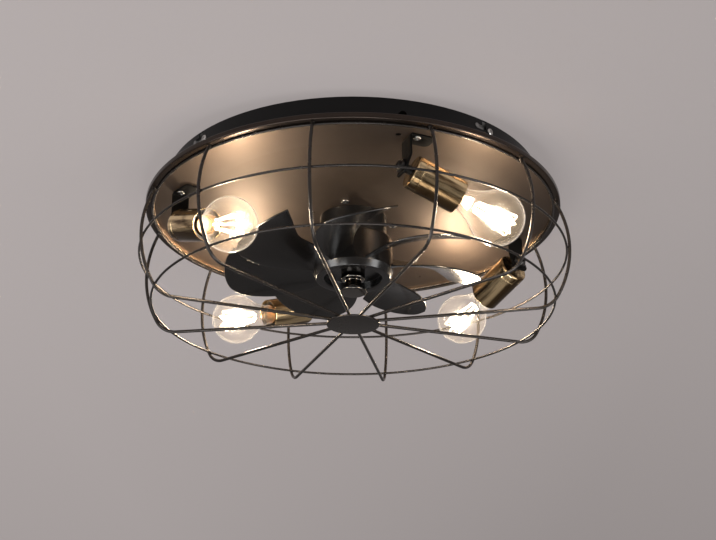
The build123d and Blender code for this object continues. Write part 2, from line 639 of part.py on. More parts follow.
def lamp_axis(k):
    """Place of lamp k with Z along its cup, from the closed end to the mouth."""
    return lamp_place(k) * Rot(0, 90 + LAMP_DIP, 0)


def bracket_line():
    """Centre line of a bracket in the lamp's upright plane, from its foot to its seat."""
    dip = radians(LAMP_DIP)
    back = NIPPLE_GAP + BRACKET_T / 2
    sx, sz = -back * cos(dip), back * sin(dip)
    bend = (sx + BRACKET_SEAT_UP * sin(dip), sz + BRACKET_SEAT_UP * cos(dip))
    low = (sx - BRACKET_SEAT_DOWN * sin(dip), sz - BRACKET_SEAT_DOWN * cos(dip))
    foot_z = REFLECTOR_Z - BRACKET_T / 2 - LAMP_Z
    return [(bend[0] + BRACKET_FOOT_L, foot_z), (bend[0], foot_z), bend, low]


def bracket_screw_place():
    """Place of the bracket's screw, on the reflector's underside, in the lamp's frame."""
    leg = bracket_line()[1][0]
    return Pos(leg + BRACKET_SCREW_L, BRACKET_SCREW_SIDE, REFLECTOR_Z - LAMP_Z)


def lead_hole_place():
    """Place of the lamp lead's hole in the reflector, in the lamp's frame."""
    return Pos(bracket_line()[1][0] - LEAD_HOLE_BACK, 0, REFLECTOR_Z - LAMP_Z)


def lamp_bracket(k):
    """A bent steel strap from the reflector down to the cup's nipple."""
    path = FilletPolyline(*[Vector(x, 0, z) for x, z in bracket_line()], radius=BRACKET_BEND_R)
    section = Plane(origin=path @ 0, z_dir=path % 0, x_dir=(0, 1, 0)) * Rectangle(BRACKET_W, BRACKET_T)
    strap = sweep(section, path=path)
    across = strap.edges().filter_by(lambda edge: abs(edge.length - BRACKET_T) < 0.01)
    foot_corners = across.sort_by(Axis.X)[-2:]
    seat_corners = across.sort_by(Axis.Z)[:2]
    strap = fillet(foot_corners + seat_corners, BRACKET_W * 0.3)
    strap -= bracket_screw_place() * Cylinder(LAMP_SCREW_R + HOLE_CLEARANCE, 6)
    nipple_hole = Pos(0, 0, -NIPPLE_GAP) * Cylinder(NIPPLE_R + HOLE_CLEARANCE, 8)
    strap -= Rot(0, 90 + LAMP_DIP, 0) * nipple_hole
    return lamp_place(k) * strap


def lamp_bracket_screws():
    """One pan-head screw through each bracket into the reflector."""
    screw = pan_head(LAMP_HEAD_R, LAMP_HEAD_H, LAMP_SCREW_R, SHEET + BRACKET_T + 2)
    place = bracket_screw_place() * Pos(0, 0, -BRACKET_T)
    return [lamp_place(k) * place * Rot(0, 0, 30 + 20 * k) * screw for k in range(LAMPS)]


def lamp_cup(k):
    """A brass cup with its threaded nipple and a faint step near the closed end."""
    soft = CUP_CORNER_R
    inner = CUP_R - CUP_WALL
    neck = CUP_R - 0.35
    back = NIPPLE_GAP + BRACKET_T + NUT_T + 3
    cup = spin_face([
        (NIPPLE_BORE_R, -back), (NIPPLE_R, -back), (NIPPLE_R, 0), (CUP_R - soft, 0),
        (CUP_R - 0.3 * soft, 0.3 * soft), (CUP_R, soft), (CUP_R, CUP_GROOVE_L - 0.8),
        (neck, CUP_GROOVE_L - 0.4), (neck, CUP_GROOVE_L + 0.4), (CUP_R, CUP_GROOVE_L + 0.8),
        (CUP_R, CUP_L), (inner, CUP_L), (inner, CUP_FLOOR), (NIPPLE_BORE_R, CUP_FLOOR),
    ])
    return lamp_axis(k) * cup


def lamp_nuts():
    """The hexagon nuts that hold the cups' nipples in the brackets."""
    nut = extrude(RegularPolygon(NUT_ACROSS_R, 6), amount=NUT_T)
    nut -= Pos(0, 0, NUT_T / 2) * Cylinder(NIPPLE_R + FIXED_GAP, NUT_T)
    place = Pos(0, 0, -NIPPLE_GAP - BRACKET_T - NUT_T)
    return [lamp_axis(k) * place * nut for k in range(LAMPS)]


def holder_sizes():
    """Floor and rim of the lampholder's socket, along the cup."""
    rim = CUP_L - HOLDER_DEPTH
    return rim - HOLDER_BORE_L, rim


def lampholder(k):
    """The moulded lampholder: the screw socket above, a web, and the terminal chamber below."""
    floor, rim = holder_sizes()
    outer = CUP_R - CUP_WALL - SLIDE_CLEARANCE
    bore = CAP_R + TOUCH_GAP
    holder = spin_face([
        (NIPPLE_R, CUP_FLOOR), (outer - 2, CUP_FLOOR), (outer, CUP_FLOOR + 2), (outer, rim - 1),
        (outer - 1, rim), (bore, rim), (bore, floor), (0, floor), (0, floor - HOLDER_WEB),
        (bore, floor - HOLDER_WEB), (bore, CUP_FLOOR + 2.5), (NIPPLE_R, CUP_FLOOR + 2.5),
    ])
    return lamp_axis(k) * holder


def bulb_cap(k):
    """The bulb's screw cap, with its centre contact on the socket's floor."""
    floor, rim = holder_sizes()
    tip = floor + TOUCH_GAP
    top = CUP_L - 1
    inside = BULB_NECK_R - GLASS_T
    cap = spin_face([
        (0, tip), (4, tip), (4.5, tip + 1.2), (10, tip + 3.5), (CAP_R, tip + 5), (CAP_R, rim - 0.5),
        (CAP_R, top), (inside, top), (inside, top - CAP_CUP), (0, top - CAP_CUP),
    ])
    return lamp_axis(k) * cap


def glass_body(inset):
    """The bulb's envelope as a full body, moved in by an inset."""
    neck = BULB_NECK_R - GLASS_T - TOUCH_GAP - inset
    centre = CUP_L + BULB_CENTRE
    ball = BULB_R - inset
    meet = radians(50)
    base = (neck, CUP_L - CAP_CUP)
    neck_top = (neck, CUP_L + 1)
    above_neck = (BULB_NECK_R - inset, CUP_L + 6)
    shoulder = (ball * sin(meet), centre - ball * cos(meet))
    tip = (0, centre + ball)
    outline = Curve() + [
        Line((0, base[1]), base), Line(base, neck_top),
        Spline([neck_top, above_neck, shoulder], tangents=[(0, 1), (cos(meet), sin(meet))]),
        ThreePointArc(shoulder, (ball, centre), tip), Line(tip, (0, base[1])),
    ]
    return revolve(Plane.XZ * make_face(outline), Axis.Z)


def bulb_glass(k):
    """The clear envelope, a thin shell that is open at the neck."""
    return lamp_axis(k) * (glass_body(0) - glass_body(GLASS_T))


def bulb_stem(k):
    """The glass stem on the cap, with the spider and the filaments that it carries."""
    foot = CUP_L - 1 - CAP_CUP
    low_z = CUP_L + FILAMENT_START
    high_z = CUP_L + FILAMENT_END
    stem = spin_face([
        (0, foot), (9.5, foot), (9.3, foot + 9), (6, foot + 15), (3.2, foot + 23), (2.4, low_z - 3),
        (1.3, low_z + 1), (1.3, high_z - 1), (2, high_z + 1), (0, high_z + 1),
    ])
    low = Vector(FILAMENT_LOW_R, 0, low_z)
    high = Vector(FILAMENT_HIGH_R, 0, high_z)
    line = Edge.make_line(low, high)
    strand = sweep(Plane(origin=low, z_dir=line % 0) * Circle(FILAMENT_R), path=line)
    strand += Pos(FILAMENT_LOW_R / 2, 0, low_z + 0.5) * Box(FILAMENT_LOW_R, 0.9, 0.9)
    strand += Pos(FILAMENT_HIGH_R / 2, 0, high_z - 0.5) * Box(FILAMENT_HIGH_R, 0.9, 0.9)
    for j in range(FILAMENTS):
        stem += Rot(0, 0, 45 + 360 / FILAMENTS * j) * strand
    return lamp_axis(k) * stem


# Control gear in the drum

def box_place():
    """Place of the control box: it rests on the reflector's sloping back, on its inner corners."""
    slope = REFLECTOR_CROWN / (REFLECTOR_FLAT_R - REFLECTOR_SEAT_R)
    inner_side = BOX_RADIUS - BOX_W / 2
    rise = (hypot(BOX_L / 2, inner_side) - inner_side) * slope
    height = reflector_height(BOX_RADIUS) + SHEET + rise + TOUCH_GAP
    return Rot(0, 0, BOX_BEARING) * Pos(0, -BOX_RADIUS, height) * Rot(-degrees(atan2(slope, 1)), 0, 0)


def receiver_case():
    """The box of the remote receiver and motor driver, open at the top."""
    wall = 2.0
    outside = Pos(0, 0, BOX_H / 2) * Box(BOX_L, BOX_W, BOX_H)
    outside = fillet(outside.edges().filter_by(Axis.Z), 3)
    inside = Pos(0, 0, BOX_H / 2 + wall) * Box(BOX_L - 2 * wall, BOX_W - 2 * wall, BOX_H)
    window = Pos(BOX_L / 2, 0, BOX_H - 6) * Box(3 * wall, 12, 6)
    return box_place() * (outside - inside - window - Pos(-BOX_L, 0, 0) * window)


def receiver_lid():
    """The box's flat lid."""
    lid = Pos(0, 0, BOX_H + BOX_LID_T / 2) * Box(BOX_L, BOX_W, BOX_LID_T)
    return box_place() * fillet(lid.edges().filter_by(Axis.Z), 3)


def terminal_block():
    """The supply's three-pole terminal block, under the mounting plate."""
    block = Pos(0, 0, -TERMINAL_H / 2) * Box(TERMINAL_L, TERMINAL_W, TERMINAL_H)
    pitch = TERMINAL_L / TERMINAL_POLES
    for k in range(TERMINAL_POLES):
        x = pitch * (k - (TERMINAL_POLES - 1) / 2)
        block -= Pos(x, 0, -TERMINAL_H * 0.45) * Rot(90, 0, 0) * Cylinder(2.4, TERMINAL_W)
        block -= Pos(x, 0, -TERMINAL_H) * Cylinder(2.2, TERMINAL_H * 0.6)
    place = Pos(0, -TERMINAL_PLACE, -PLATE_T)
    return at_bearing(place * block, FIXING_BEARING)


# Export

def parts():
    """Every sub-part by its name. A list holds identical or paired pieces of one name."""
    model = {
        "mounting_plate": mounting_plate(),
        "terminal_block": terminal_block(),
        "canopy_drum": canopy_drum(),
        "canopy_screws": canopy_screws(),
        "reflector": reflector(),
        "rim_ring": rim_ring(),
        "receiver_case": receiver_case(),
        "receiver_lid": receiver_lid(),
        "motor_housing": motor_housing(),
        "motor_screws": motor_screws(),
        "upper_bearing": ball_bearing(UPPER_BEARING_Z),
        "lower_bearing": ball_bearing(LOWER_BEARING_Z),
        "stator_core": stator_core(),
        "stator_coils": stator_coils(),
        "shaft": shaft(),
        "shaft_clip": shaft_clip(),
        "rotor_cup": rotor_cup(),
        "magnet_ring": magnet_ring(),
        "impeller": impeller(),
        "spinner_nut": spinner_nut(),
        "cage_upper_ring": cage_ring(UPPER_RING),
        "cage_middle_ring": cage_ring(MIDDLE_RING),
        "cage_lower_ring": cage_ring(LOWER_RING),
        "cage_disc": cage_disc(),
        "lamp_bracket_screws": lamp_bracket_screws(),
        "lamp_nuts": lamp_nuts(),
    }
    for k in range(RIBS // 2):
        model[f"cage_ribs_{k + 1}_{k + 1 + RIBS // 2}"] = cage_rib_pair(k)
    for k in range(LAMPS):
        model[f"lamp_bracket_{k + 1}"] = lamp_bracket(k)
        model[f"lamp_cup_{k + 1}"] = lamp_cup(k)
        model[f"lampholder_{k + 1}"] = lampholder(k)
        model[f"bulb_cap_{k + 1}"] = bulb_cap(k)
        model[f"bulb_glass_{k + 1}"] = bulb_glass(k)
        model[f"bulb_stem_{k + 1}"] = bulb_stem(k)
    return model


os.makedirs("parts", exist_ok=True)
for name, shape in parts().items():
    if isinstance(shape, list):
        shape = Compound(children=[one.solid() for one in shape])
    shape.label = name
    export_step(shape, f"parts/{name}.step")
    print(name, round(shape.volume / 1000, 2), "cm3")
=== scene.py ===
# %% [markdown]
# # A caged ceiling fan with four lamps
#
# The fan hangs under a ceiling: a black drum, a bronze reflector under it, a motor with a bladed rotor in
# the middle, four brass lamp cups with clear bulbs, and a wire cage round it all. The construction is
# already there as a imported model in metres, with its origin at the centre of the ceiling face. This file
# gives every piece its finished shape and its surface, cell by cell.

# %% Load the frame
import json
from math import asin, atan2, cos, degrees, hypot, pi, radians, sin, tan

import bmesh
import bpy
from mathutils import Matrix, Vector

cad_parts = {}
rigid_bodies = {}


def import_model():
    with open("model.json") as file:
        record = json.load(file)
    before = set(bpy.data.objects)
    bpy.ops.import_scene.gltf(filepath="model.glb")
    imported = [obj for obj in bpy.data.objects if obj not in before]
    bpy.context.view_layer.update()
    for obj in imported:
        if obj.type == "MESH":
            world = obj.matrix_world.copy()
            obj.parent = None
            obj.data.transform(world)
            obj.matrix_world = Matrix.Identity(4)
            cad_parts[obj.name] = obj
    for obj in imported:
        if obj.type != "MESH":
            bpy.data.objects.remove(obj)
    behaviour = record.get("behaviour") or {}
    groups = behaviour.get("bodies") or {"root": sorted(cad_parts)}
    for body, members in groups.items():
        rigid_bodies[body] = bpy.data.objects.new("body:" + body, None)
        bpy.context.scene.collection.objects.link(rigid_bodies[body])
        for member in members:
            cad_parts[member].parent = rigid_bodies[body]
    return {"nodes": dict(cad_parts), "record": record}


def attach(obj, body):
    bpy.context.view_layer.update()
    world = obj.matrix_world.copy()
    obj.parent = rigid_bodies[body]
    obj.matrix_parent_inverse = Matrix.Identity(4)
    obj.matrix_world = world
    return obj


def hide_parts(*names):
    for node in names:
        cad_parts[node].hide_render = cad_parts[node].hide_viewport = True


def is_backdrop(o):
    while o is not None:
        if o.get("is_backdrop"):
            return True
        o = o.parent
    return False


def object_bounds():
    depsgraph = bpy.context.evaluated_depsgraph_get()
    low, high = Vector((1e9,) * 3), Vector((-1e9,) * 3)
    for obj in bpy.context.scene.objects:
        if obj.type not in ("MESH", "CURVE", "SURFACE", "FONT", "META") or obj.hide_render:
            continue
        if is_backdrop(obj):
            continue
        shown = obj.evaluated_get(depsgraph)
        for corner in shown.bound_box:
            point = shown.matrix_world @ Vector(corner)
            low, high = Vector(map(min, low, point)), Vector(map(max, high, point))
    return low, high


for leftover in list(bpy.data.objects):
    bpy.data.objects.remove(leftover)
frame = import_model()
bpy.context.view_layer.update()

# %% [markdown]
# ## The sizes that several pieces share
#
# The drawing of the fan is in millimetres, so the sizes here are too, and MM turns them into metres where a
# mesh is made. Heights are negative, because everything hangs below the ceiling at zero. A bearing is an
# angle about the upright axis, counted from the near side towards the right.

# %% Shared sizes
MM = 0.001
RIM_R, RIM_Z = 248.0, -38.9
DRUM_R, SHEET, FLANGE_Z = 224.0, 1.2, -34.5
REFLECTOR_Z, SEAT_Z = -35.7, -40.0     # the reflector's underside at its edge and at the motor
MOTOR_R, HUB_R, BLADE_R = 40.0, 47.5, 156.5
RIB_R, RING_R = 1.9, 1.4
UPPER_RING, MIDDLE_RING, LOWER_RING = (239.2, -40.4), (252.0, -97.0), (235.3, -155.5)
CUP_L, CUP_R = 60.0, 19.0
LAMP_R, LAMP_Z, LAMP_DIP = 208.0, -76.7, 19.3
FIRST_LAMP, LAMP_HEADINGS = -72.5, (39.0, 24.0, 36.0, 32.0)


def turn(bearing):
    """A turn about the upright axis, in degrees."""
    return Matrix.Rotation(radians(bearing), 4, "Z")


def shift(x, y, z):
    """A move by millimetres."""
    return Matrix.Translation((x * MM, y * MM, z * MM))


def lamp_place(k):
    """Where lamp k hangs: the middle of its cup's closed end, with X along its level heading."""
    return turn(90 * k + FIRST_LAMP) @ shift(0, -LAMP_R, LAMP_Z) @ turn(LAMP_HEADINGS[k] - 90 - FIRST_LAMP)


def lamp_axis(k):
    """The same place with Z along the cup, from its closed end to its mouth."""
    return lamp_place(k) @ Matrix.Rotation(radians(90 + LAMP_DIP), 4, "Y")


mouths = [lamp_axis(k) @ Vector((0, 0, CUP_L * MM)) for k in range(4)]
print("lamp mouths at", [tuple(round(v, 3) for v in mouth) for mouth in mouths])

# %% [markdown]
# ## Camera
#
# The photograph looks up at the ceiling from below and in front. The camera's place and tilt were worked
# out from the cage rings, the rim and the bulbs, whose real sizes are known. The lens is a short telephoto,
# so the rings are nearly undistorted ellipses, and nothing is shifted to correct the picture.

# %% The camera
def linked(name, data):
    """An object for a mesh, a light or a camera, linked to the scene."""
    obj = bpy.data.objects.new(name, data)
    bpy.context.scene.collection.objects.link(obj)
    return obj


camera_data = bpy.data.cameras.new("camera")
camera_data.lens = 72.27
camera_data.sensor_width = 36.0
camera = linked("camera", camera_data)
camera.location = (0.0058, -1.5671, -0.7787)
camera.rotation_euler = (radians(90 + 23.22), 0, 0)     # level is 90, so it looks up by 23.22 degrees
camera.rotation_euler.rotate_axis("Z", radians(-0.12))
bpy.context.scene.camera = camera
bpy.context.scene.view_settings.view_transform = "Standard"
print("camera at", tuple(round(v, 3) for v in camera.location))

# %% [markdown]
# ## Stage and light
#
# A ceiling fan needs a ceiling behind it, so the backdrop is a pale sheet at the ceiling's height. It is
# one-sided: seen from above it is clear, so that the fan can be looked at from there too. The round part
# inside the drum is a sheet of its own. The camera sees it black: painted shade, standing for the dark
# room above a knock-out hole. All other light passes through it to the mounting plate. A pale floor lies
# far below.
#
# Two large soft lights stand low on the camera's side. One small one below the fan and two at its own
# height draw lines of light along the wires and cups, and one above the ceiling is for the views from up
# there. The far side is left to the grey-pink surroundings, which is what the satin reflector mirrors in
# the photograph. Each bulb holds a small warm light. The photograph shows that light on the metal and none
# of it on the ceiling, so light linking keeps the ceiling out of it.
#
# Materials and Geometry Nodes are both trees of nodes. A few short functions fill in a node's inputs, each
# with a value or with another node's output, so that a whole tree reads from top to bottom.

# %% Nodes and their inputs
def feed(tree, node, inputs):
    """
    Sets a node's inputs by name or number. An input that is given another node's output is linked to it, and
    one that is given a node is linked to that node's first output.
    """
    for key, value in inputs.items():
        if isinstance(value, bpy.types.Node):
            value = value.outputs[0]
        if isinstance(value, bpy.types.NodeSocket):
            tree.links.new(value, node.inputs[key])
        else:
            node.inputs[key].default_value = value
    return node


def add(tree, kind, inputs):
    """A new node with its inputs set."""
    return feed(tree, tree.nodes.new(kind), inputs)


def maths(tree, operation, *values):
    """A new Math node, from its operation and its inputs in order."""
    node = tree.nodes.new("ShaderNodeMath")
    node.operation = operation
    return feed(tree, node, dict(enumerate(values)))


def new_material(name):
    """A material, its node tree and the Principled shader in it."""
    mat = bpy.data.materials.new(name)
    mat.use_nodes = True
    return mat, mat.node_tree, mat.node_tree.nodes["Principled BSDF"]


# %% The paint of a stage sheet
SEEN = ("Camera", "Glossy", "Transmission")     # the rays of the camera, of mirrors and of glass


def sheet_paint(name, colour, glow, seen_by, fade):
    """
    Part of a sheet's paleness is a glow for the SEEN rays only, so it doesn't light the fan. The glow fades
    to a share of itself from half a metre left of the fan to half a metre right of it: painted shade that
    makes the sheet darker towards the right. The sheet is clear from behind, and with seen_by it is clear
    to every other kind of ray too.
    """
    mat, tree, paint = new_material(name)
    ray = tree.nodes.new("ShaderNodeLightPath").outputs

    def is_any(kinds):
        """1 for a ray of one of the kinds, and 0 for the others."""
        highest = ray[f"Is {kinds[0]} Ray"]
        for kind in kinds[1:]:
            highest = maths(tree, "MAXIMUM", highest, ray[f"Is {kind} Ray"])
        return highest

    place = tree.nodes.new("ShaderNodeTexCoord").outputs["Object"]
    apart = add(tree, "ShaderNodeSeparateXYZ", {"Vector": place})
    painted_shade_to_the_right = add(tree, "ShaderNodeMapRange", {
        "Value": apart.outputs["X"], "From Min": -0.5, "From Max": 0.5, "To Min": 1.0, "To Max": fade,
    })
    strength = maths(tree, "MULTIPLY", is_any(SEEN), painted_shade_to_the_right)
    feed(tree, paint, {
        "Base Color": (*colour, 1), "Roughness": 0.9, "Emission Color": (*glow, 1),
        "Emission Strength": strength,
    })
    see_through = tree.nodes.new("ShaderNodeNewGeometry").outputs["Backfacing"]
    if seen_by:
        others = maths(tree, "SUBTRACT", 1.0, is_any(seen_by))
        see_through = maths(tree, "MAXIMUM", see_through, others)
    clear = tree.nodes.new("ShaderNodeBsdfTransparent")
    mix = add(tree, "ShaderNodeMixShader", {"Fac": see_through, 1: paint, 2: clear})
    feed(tree, tree.nodes["Material Output"], {"Surface": mix})
    return mat


# %% Stage
HOLE_R, STAGE_R = 0.2234, 14.0     # in metres: within the drum wall's thickness, and the sheets' half width
CEILING_Z, FLOOR_Z = 0.0004, -2.7
CEILING, CEILING_GLOW = (0.14, 0.126, 0.125), (0.318, 0.287, 0.282)


def stage_sheet(name, inner, outer, height, colour, glow, straight=True, seen_by=(), fade=1.0):
    """A flat sheet that faces the fan, round inside and square or round outside."""
    steps = 96
    bm = bmesh.new()
    rings = []
    for size, square in ((inner, False), (outer, straight)):
        ring = []
        for i in range(steps):
            a = 2 * pi * i / steps
            reach = size / max(abs(cos(a)), abs(sin(a))) if square else size
            ring.append(bm.verts.new((reach * cos(a), reach * sin(a), height)))
        rings.append(ring)
    for i in range(steps):
        j = (i + 1) % steps
        bm.faces.new([rings[0][i], rings[0][j], rings[1][j], rings[1][i]])
    bmesh.ops.remove_doubles(bm, verts=bm.verts, dist=1e-6)
    mesh = bpy.data.meshes.new(name)
    bm.to_mesh(mesh)
    bm.free()
    if (mesh.polygons[0].normal.z > 0) == (height > 0):
        mesh.flip_normals()
    mesh.materials.append(sheet_paint(name + "_paint", colour, glow, seen_by, fade))
    sheet = linked(name, mesh)
    sheet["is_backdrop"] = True
    return sheet


# The ceiling's glow fades towards the right: painted shade, darker on that side.
ceiling = stage_sheet("ceiling", HOLE_R, STAGE_R, CEILING_Z, CEILING, CEILING_GLOW, fade=0.78)
# A black sheet over the drum's hole, seen by the camera only: painted shade for the dark inside.
above_drum = stage_sheet("above_drum", 0, HOLE_R, CEILING_Z, (0.004, 0.004, 0.004), (0, 0, 0),
                         straight=False, seen_by=("Camera",))
floor = stage_sheet("floor", 0, STAGE_R, FLOOR_Z, (0.32, 0.3, 0.295), (0.12, 0.113, 0.111), seen_by=SEEN)
print("stage", ceiling.name, above_drum.name, floor.name)

# %% Lights
world = bpy.data.worlds.new("surroundings")
bpy.context.scene.world = world
world.use_nodes = True
world.node_tree.nodes["Background"].inputs["Color"].default_value = (0.16, 0.149, 0.145, 1)


def soft_light(name, place, aim, size, power):
    """A square soft box that faces a point on the fan's axis, at the height aim."""
    data = bpy.data.lights.new(name, "AREA")
    data.size = size
    data.energy = power
    light = linked(name, data)
    light.location = place
    light.rotation_euler = (Vector((0, 0, aim)) - Vector(place)).to_track_quat("-Z", "Y").to_euler()


soft_light("key_light", (-1.3, -1.6, -1.9), -0.1, 1.6, 27)
soft_light("fill_light", (1.6, -0.9, -1.7), -0.1, 1.4, 11)
soft_light("light_from_below", (0.1, -0.8, -1.8), -0.1, 0.6, 9)
soft_light("left_side_light", (-1.75, -1.0, -0.62), -0.12, 0.8, 9)
soft_light("right_side_light", (1.8, -0.85, -0.62), -0.12, 0.8, 9)
soft_light("light_over_the_ceiling", (0.5, -0.5, 1.5), -0.1, 1.0, 9)
not_from_bulbs = bpy.data.collections.new("not_lit_by_bulbs")
not_from_bulbs.objects.link(ceiling)
not_from_bulbs.collection_objects[0].light_linking.link_state = "EXCLUDE"
for k in range(4):
    glow = bpy.data.lights.new(f"bulb_light_{k + 1}", "POINT")
    glow.energy = 1.35
    glow.color = (1.0, 0.8, 0.58)
    glow.shadow_soft_size = 0.015
    bulb = linked(glow.name, glow)
    bulb.location = lamp_axis(k) @ Vector((0, 0, (CUP_L + 46) * MM))     # among the filaments
    bulb.light_linking.receiver_collection = not_from_bulbs

# %% [markdown]
# ## Ways to make a mesh
#
# Most pieces here are turned on a lathe, so one function spins an outline round an axis. An outline with
# sharp corners looks like cut paper in a render, because no real edge is that sharp and each one catches a
# thin line of light. A second function rounds the outline's corners before it is spun, which gives cleaner
# faces than a bevel afterwards. The skin function also lays a UV map, from which the glass knows its inner
# wall, and it notes where each point lies on the piece itself. The brass follows that note, so its streaks
# run along every cup, whichever way the cup points.

# %% Rounded outlines
ON_AXIS = 1e-6     # a point this near the axis is on it, and isn't rounded


def rounded(points, radius, steps=3):
    """The outline with its corners turned into arcs. A point may carry a radius of its own."""
    result = []
    for i, point in enumerate(points):
        here = Vector(point[:2])
        before = Vector(points[i - 1][:2]) - here
        after = Vector(points[(i + 1) % len(points)][:2]) - here
        size = point[2] if len(point) > 2 else radius
        bend = before.angle(after)
        if here.x < ON_AXIS or size <= 0 or bend > radians(176):
            result.append(tuple(here))
            continue
        reach = min(size / tan(bend / 2), before.length * 0.48, after.length * 0.48)
        start = here + before.normalized() * reach
        end = here + after.normalized() * reach
        for k in range(steps + 1):
            t = k / steps
            result.append(tuple(start * (1 - t) ** 2 + here * 2 * t * (1 - t) + end * t**2))
    return result


# %% Skins and turned pieces
def faces_out(mesh):
    """Turns the faces of a closed mesh outwards."""
    bm = bmesh.new()
    bm.from_mesh(mesh)
    bmesh.ops.recalc_face_normals(bm, faces=bm.faces)
    bm.to_mesh(mesh)
    bm.free()


def smooth(mesh, angle=32.0):
    """Smooth shading, apart from edges sharper than the angle."""
    for face in mesh.polygons:
        face.use_smooth = True
    mesh.set_sharp_from_angle(angle=radians(angle))


def skin(name, rows, around=True, closed=False, place=Matrix(), angle=32.0):
    """
    A mesh over rows of points in millimetres, placed in metres. U runs along a row and V across the rows.
    A row with one point closes the mesh at a pole.
    """
    points, index = [], []
    for row in rows:
        index.append([len(points) + j for j in range(len(row))])
        points += [place @ (Vector(p) * MM) for p in row]
    columns = max(len(row) for row in rows)
    faces, uvs = [], []
    for i in range(len(rows) if closed else len(rows) - 1):
        low, high = index[i], index[(i + 1) % len(rows)]
        for j in range(columns if around else columns - 1):
            corners = [(low, j, i), (low, j + 1, i), (high, j + 1, i + 1), (high, j, i + 1)]
            if len(low) == 1:
                corners.pop(1)
            if len(high) == 1:
                corners.pop()
            if len(corners) > 2:
                faces.append([row[c % len(row)] for row, c, _ in corners])
                uvs += [(c / columns, r / len(rows)) for _, c, r in corners]
    mesh = bpy.data.meshes.new(name)
    mesh.from_pydata(points, [], faces)
    layer = mesh.uv_layers.new(name="UVMap")
    for loop, uv in zip(layer.data, uvs):
        loop.uv = uv
    faces_out(mesh)
    own = mesh.attributes.new("own_place", "FLOAT_VECTOR", "POINT")
    for spot, vert in zip(own.data, mesh.vertices):
        spot.vector = vert.co
    smooth(mesh, angle)
    return linked(name, mesh)


def level_row(z, radii):
    """A row of points at one height, evenly spread about the axis, from the radius of each."""
    turns = [2 * pi * s / len(radii) for s in range(len(radii))]
    return [(r * cos(a), r * sin(a), z) for r, a in zip(radii, turns)]


def circle_row(z, r, steps=72):
    """A row of points on a level circle."""
    return level_row(z, [r] * steps)


def turned(name, outline, steps=128, place=Matrix(), angle=32.0):
    """A solid of revolution: a closed outline of (radius, height) points, spun round Z and placed."""
    rows = [circle_row(z, r, steps) if r > ON_AXIS else [(0, 0, z)] for r, z in outline]
    return skin(name, rows, closed=True, place=place, angle=angle)


def keep(obj, material, slot, *nodes, body="fixture"):
    """Gives a finished piece its surface, and lets it ride on its body in place of its CAD nodes."""
    if material:
        obj.data.materials.clear()
        obj.data.materials.append(material)
    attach(obj, body)
    if nodes:
        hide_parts(*nodes)
    print(obj.name, len(obj.data.polygons), "faces")


# %% [markdown]
# ## Finishes
#
# Painted and plated metal differ in three ways that a picture shows: how much of the light is mirrored, how
# sharp the mirror is, and what breaks it up. One function sets those on the shader's own sockets and adds
# two noises: a fine one for the skin of the paint, and a broad one for patches of another tone, which also
# lets the gloss vary. Real paint is never even, and an even roughness is what makes a render look plastic.

# %% The paint and metal recipe
def finish(name, colour, patch, metal=0.0, rough=0.4, vary=0.06, grain=1400.0, bump=0.05, patches=22.0,
           amount=0.5, stretch=(1, 1, 1), own=False, sheen_level=0.5, contrast=(0.35, 0.7)):
    """A procedural surface. Grain and patches are noise scales, and stretch squeezes the patches."""
    mat, tree, shader = new_material(name)
    if own:
        remembered = tree.nodes.new("ShaderNodeAttribute")
        remembered.attribute_name = "own_place"
        place = remembered.outputs["Vector"]
    else:
        place = tree.nodes.new("ShaderNodeTexCoord").outputs["Object"]
    squeezed = add(tree, "ShaderNodeMapping", {"Vector": place, "Scale": stretch})
    tone = add(tree, "ShaderNodeTexNoise", {
        "Vector": squeezed, "Scale": patches, "Detail": 5.0, "Roughness": 0.6,
    })
    sharpen = add(tree, "ShaderNodeMapRange", {
        "Value": tone, "From Min": contrast[0], "From Max": contrast[1], "To Max": amount,
    })
    mix = tree.nodes.new("ShaderNodeMix")
    mix.data_type = "RGBA"
    feed(tree, mix, {"A": (*colour, 1), "B": (*patch, 1), "Factor": sharpen})
    gloss = add(tree, "ShaderNodeMapRange", {"Value": tone, "To Min": rough - vary, "To Max": rough + vary})
    fine = add(tree, "ShaderNodeTexNoise", {
        "Vector": squeezed if own else place, "Scale": grain, "Detail": 2.0,
    })
    relief = add(tree, "ShaderNodeBump", {"Height": fine, "Strength": bump, "Distance": 0.0004})
    feed(tree, shader, {
        "Metallic": metal, "Specular IOR Level": sheen_level, "Base Color": mix.outputs["Result"],
        "Roughness": gloss, "Normal": relief,
    })
    return mat


# %% The finishes of this fan
black_paint = finish("satin_black_paint", (0.006, 0.006, 0.0062), (0.01, 0.0095, 0.0095), rough=0.34,
                     sheen_level=0.22)
strap_paint = finish("strap_black_paint", (0.004, 0.004, 0.004), (0.007, 0.0067, 0.0065), rough=0.5,
                     sheen_level=0.08)
cage_paint = finish("cage_black_paint", (0.043, 0.038, 0.035), (0.056, 0.048, 0.043), metal=0.7, rough=0.27,
                    vary=0.04, grain=500.0, bump=0.02)
bronze_paint = finish("bronze_reflector_paint", (0.145, 0.111, 0.088), (0.115, 0.087, 0.069), metal=0.95,
                      rough=0.48, vary=0.03, grain=2600.0, patches=9.0)
rim_paint = finish("rim_dark_bronze", (0.05, 0.037, 0.03), (0.034, 0.026, 0.022), metal=0.85, rough=0.24,
                   vary=0.03, grain=1800.0, bump=0.03, patches=14.0)
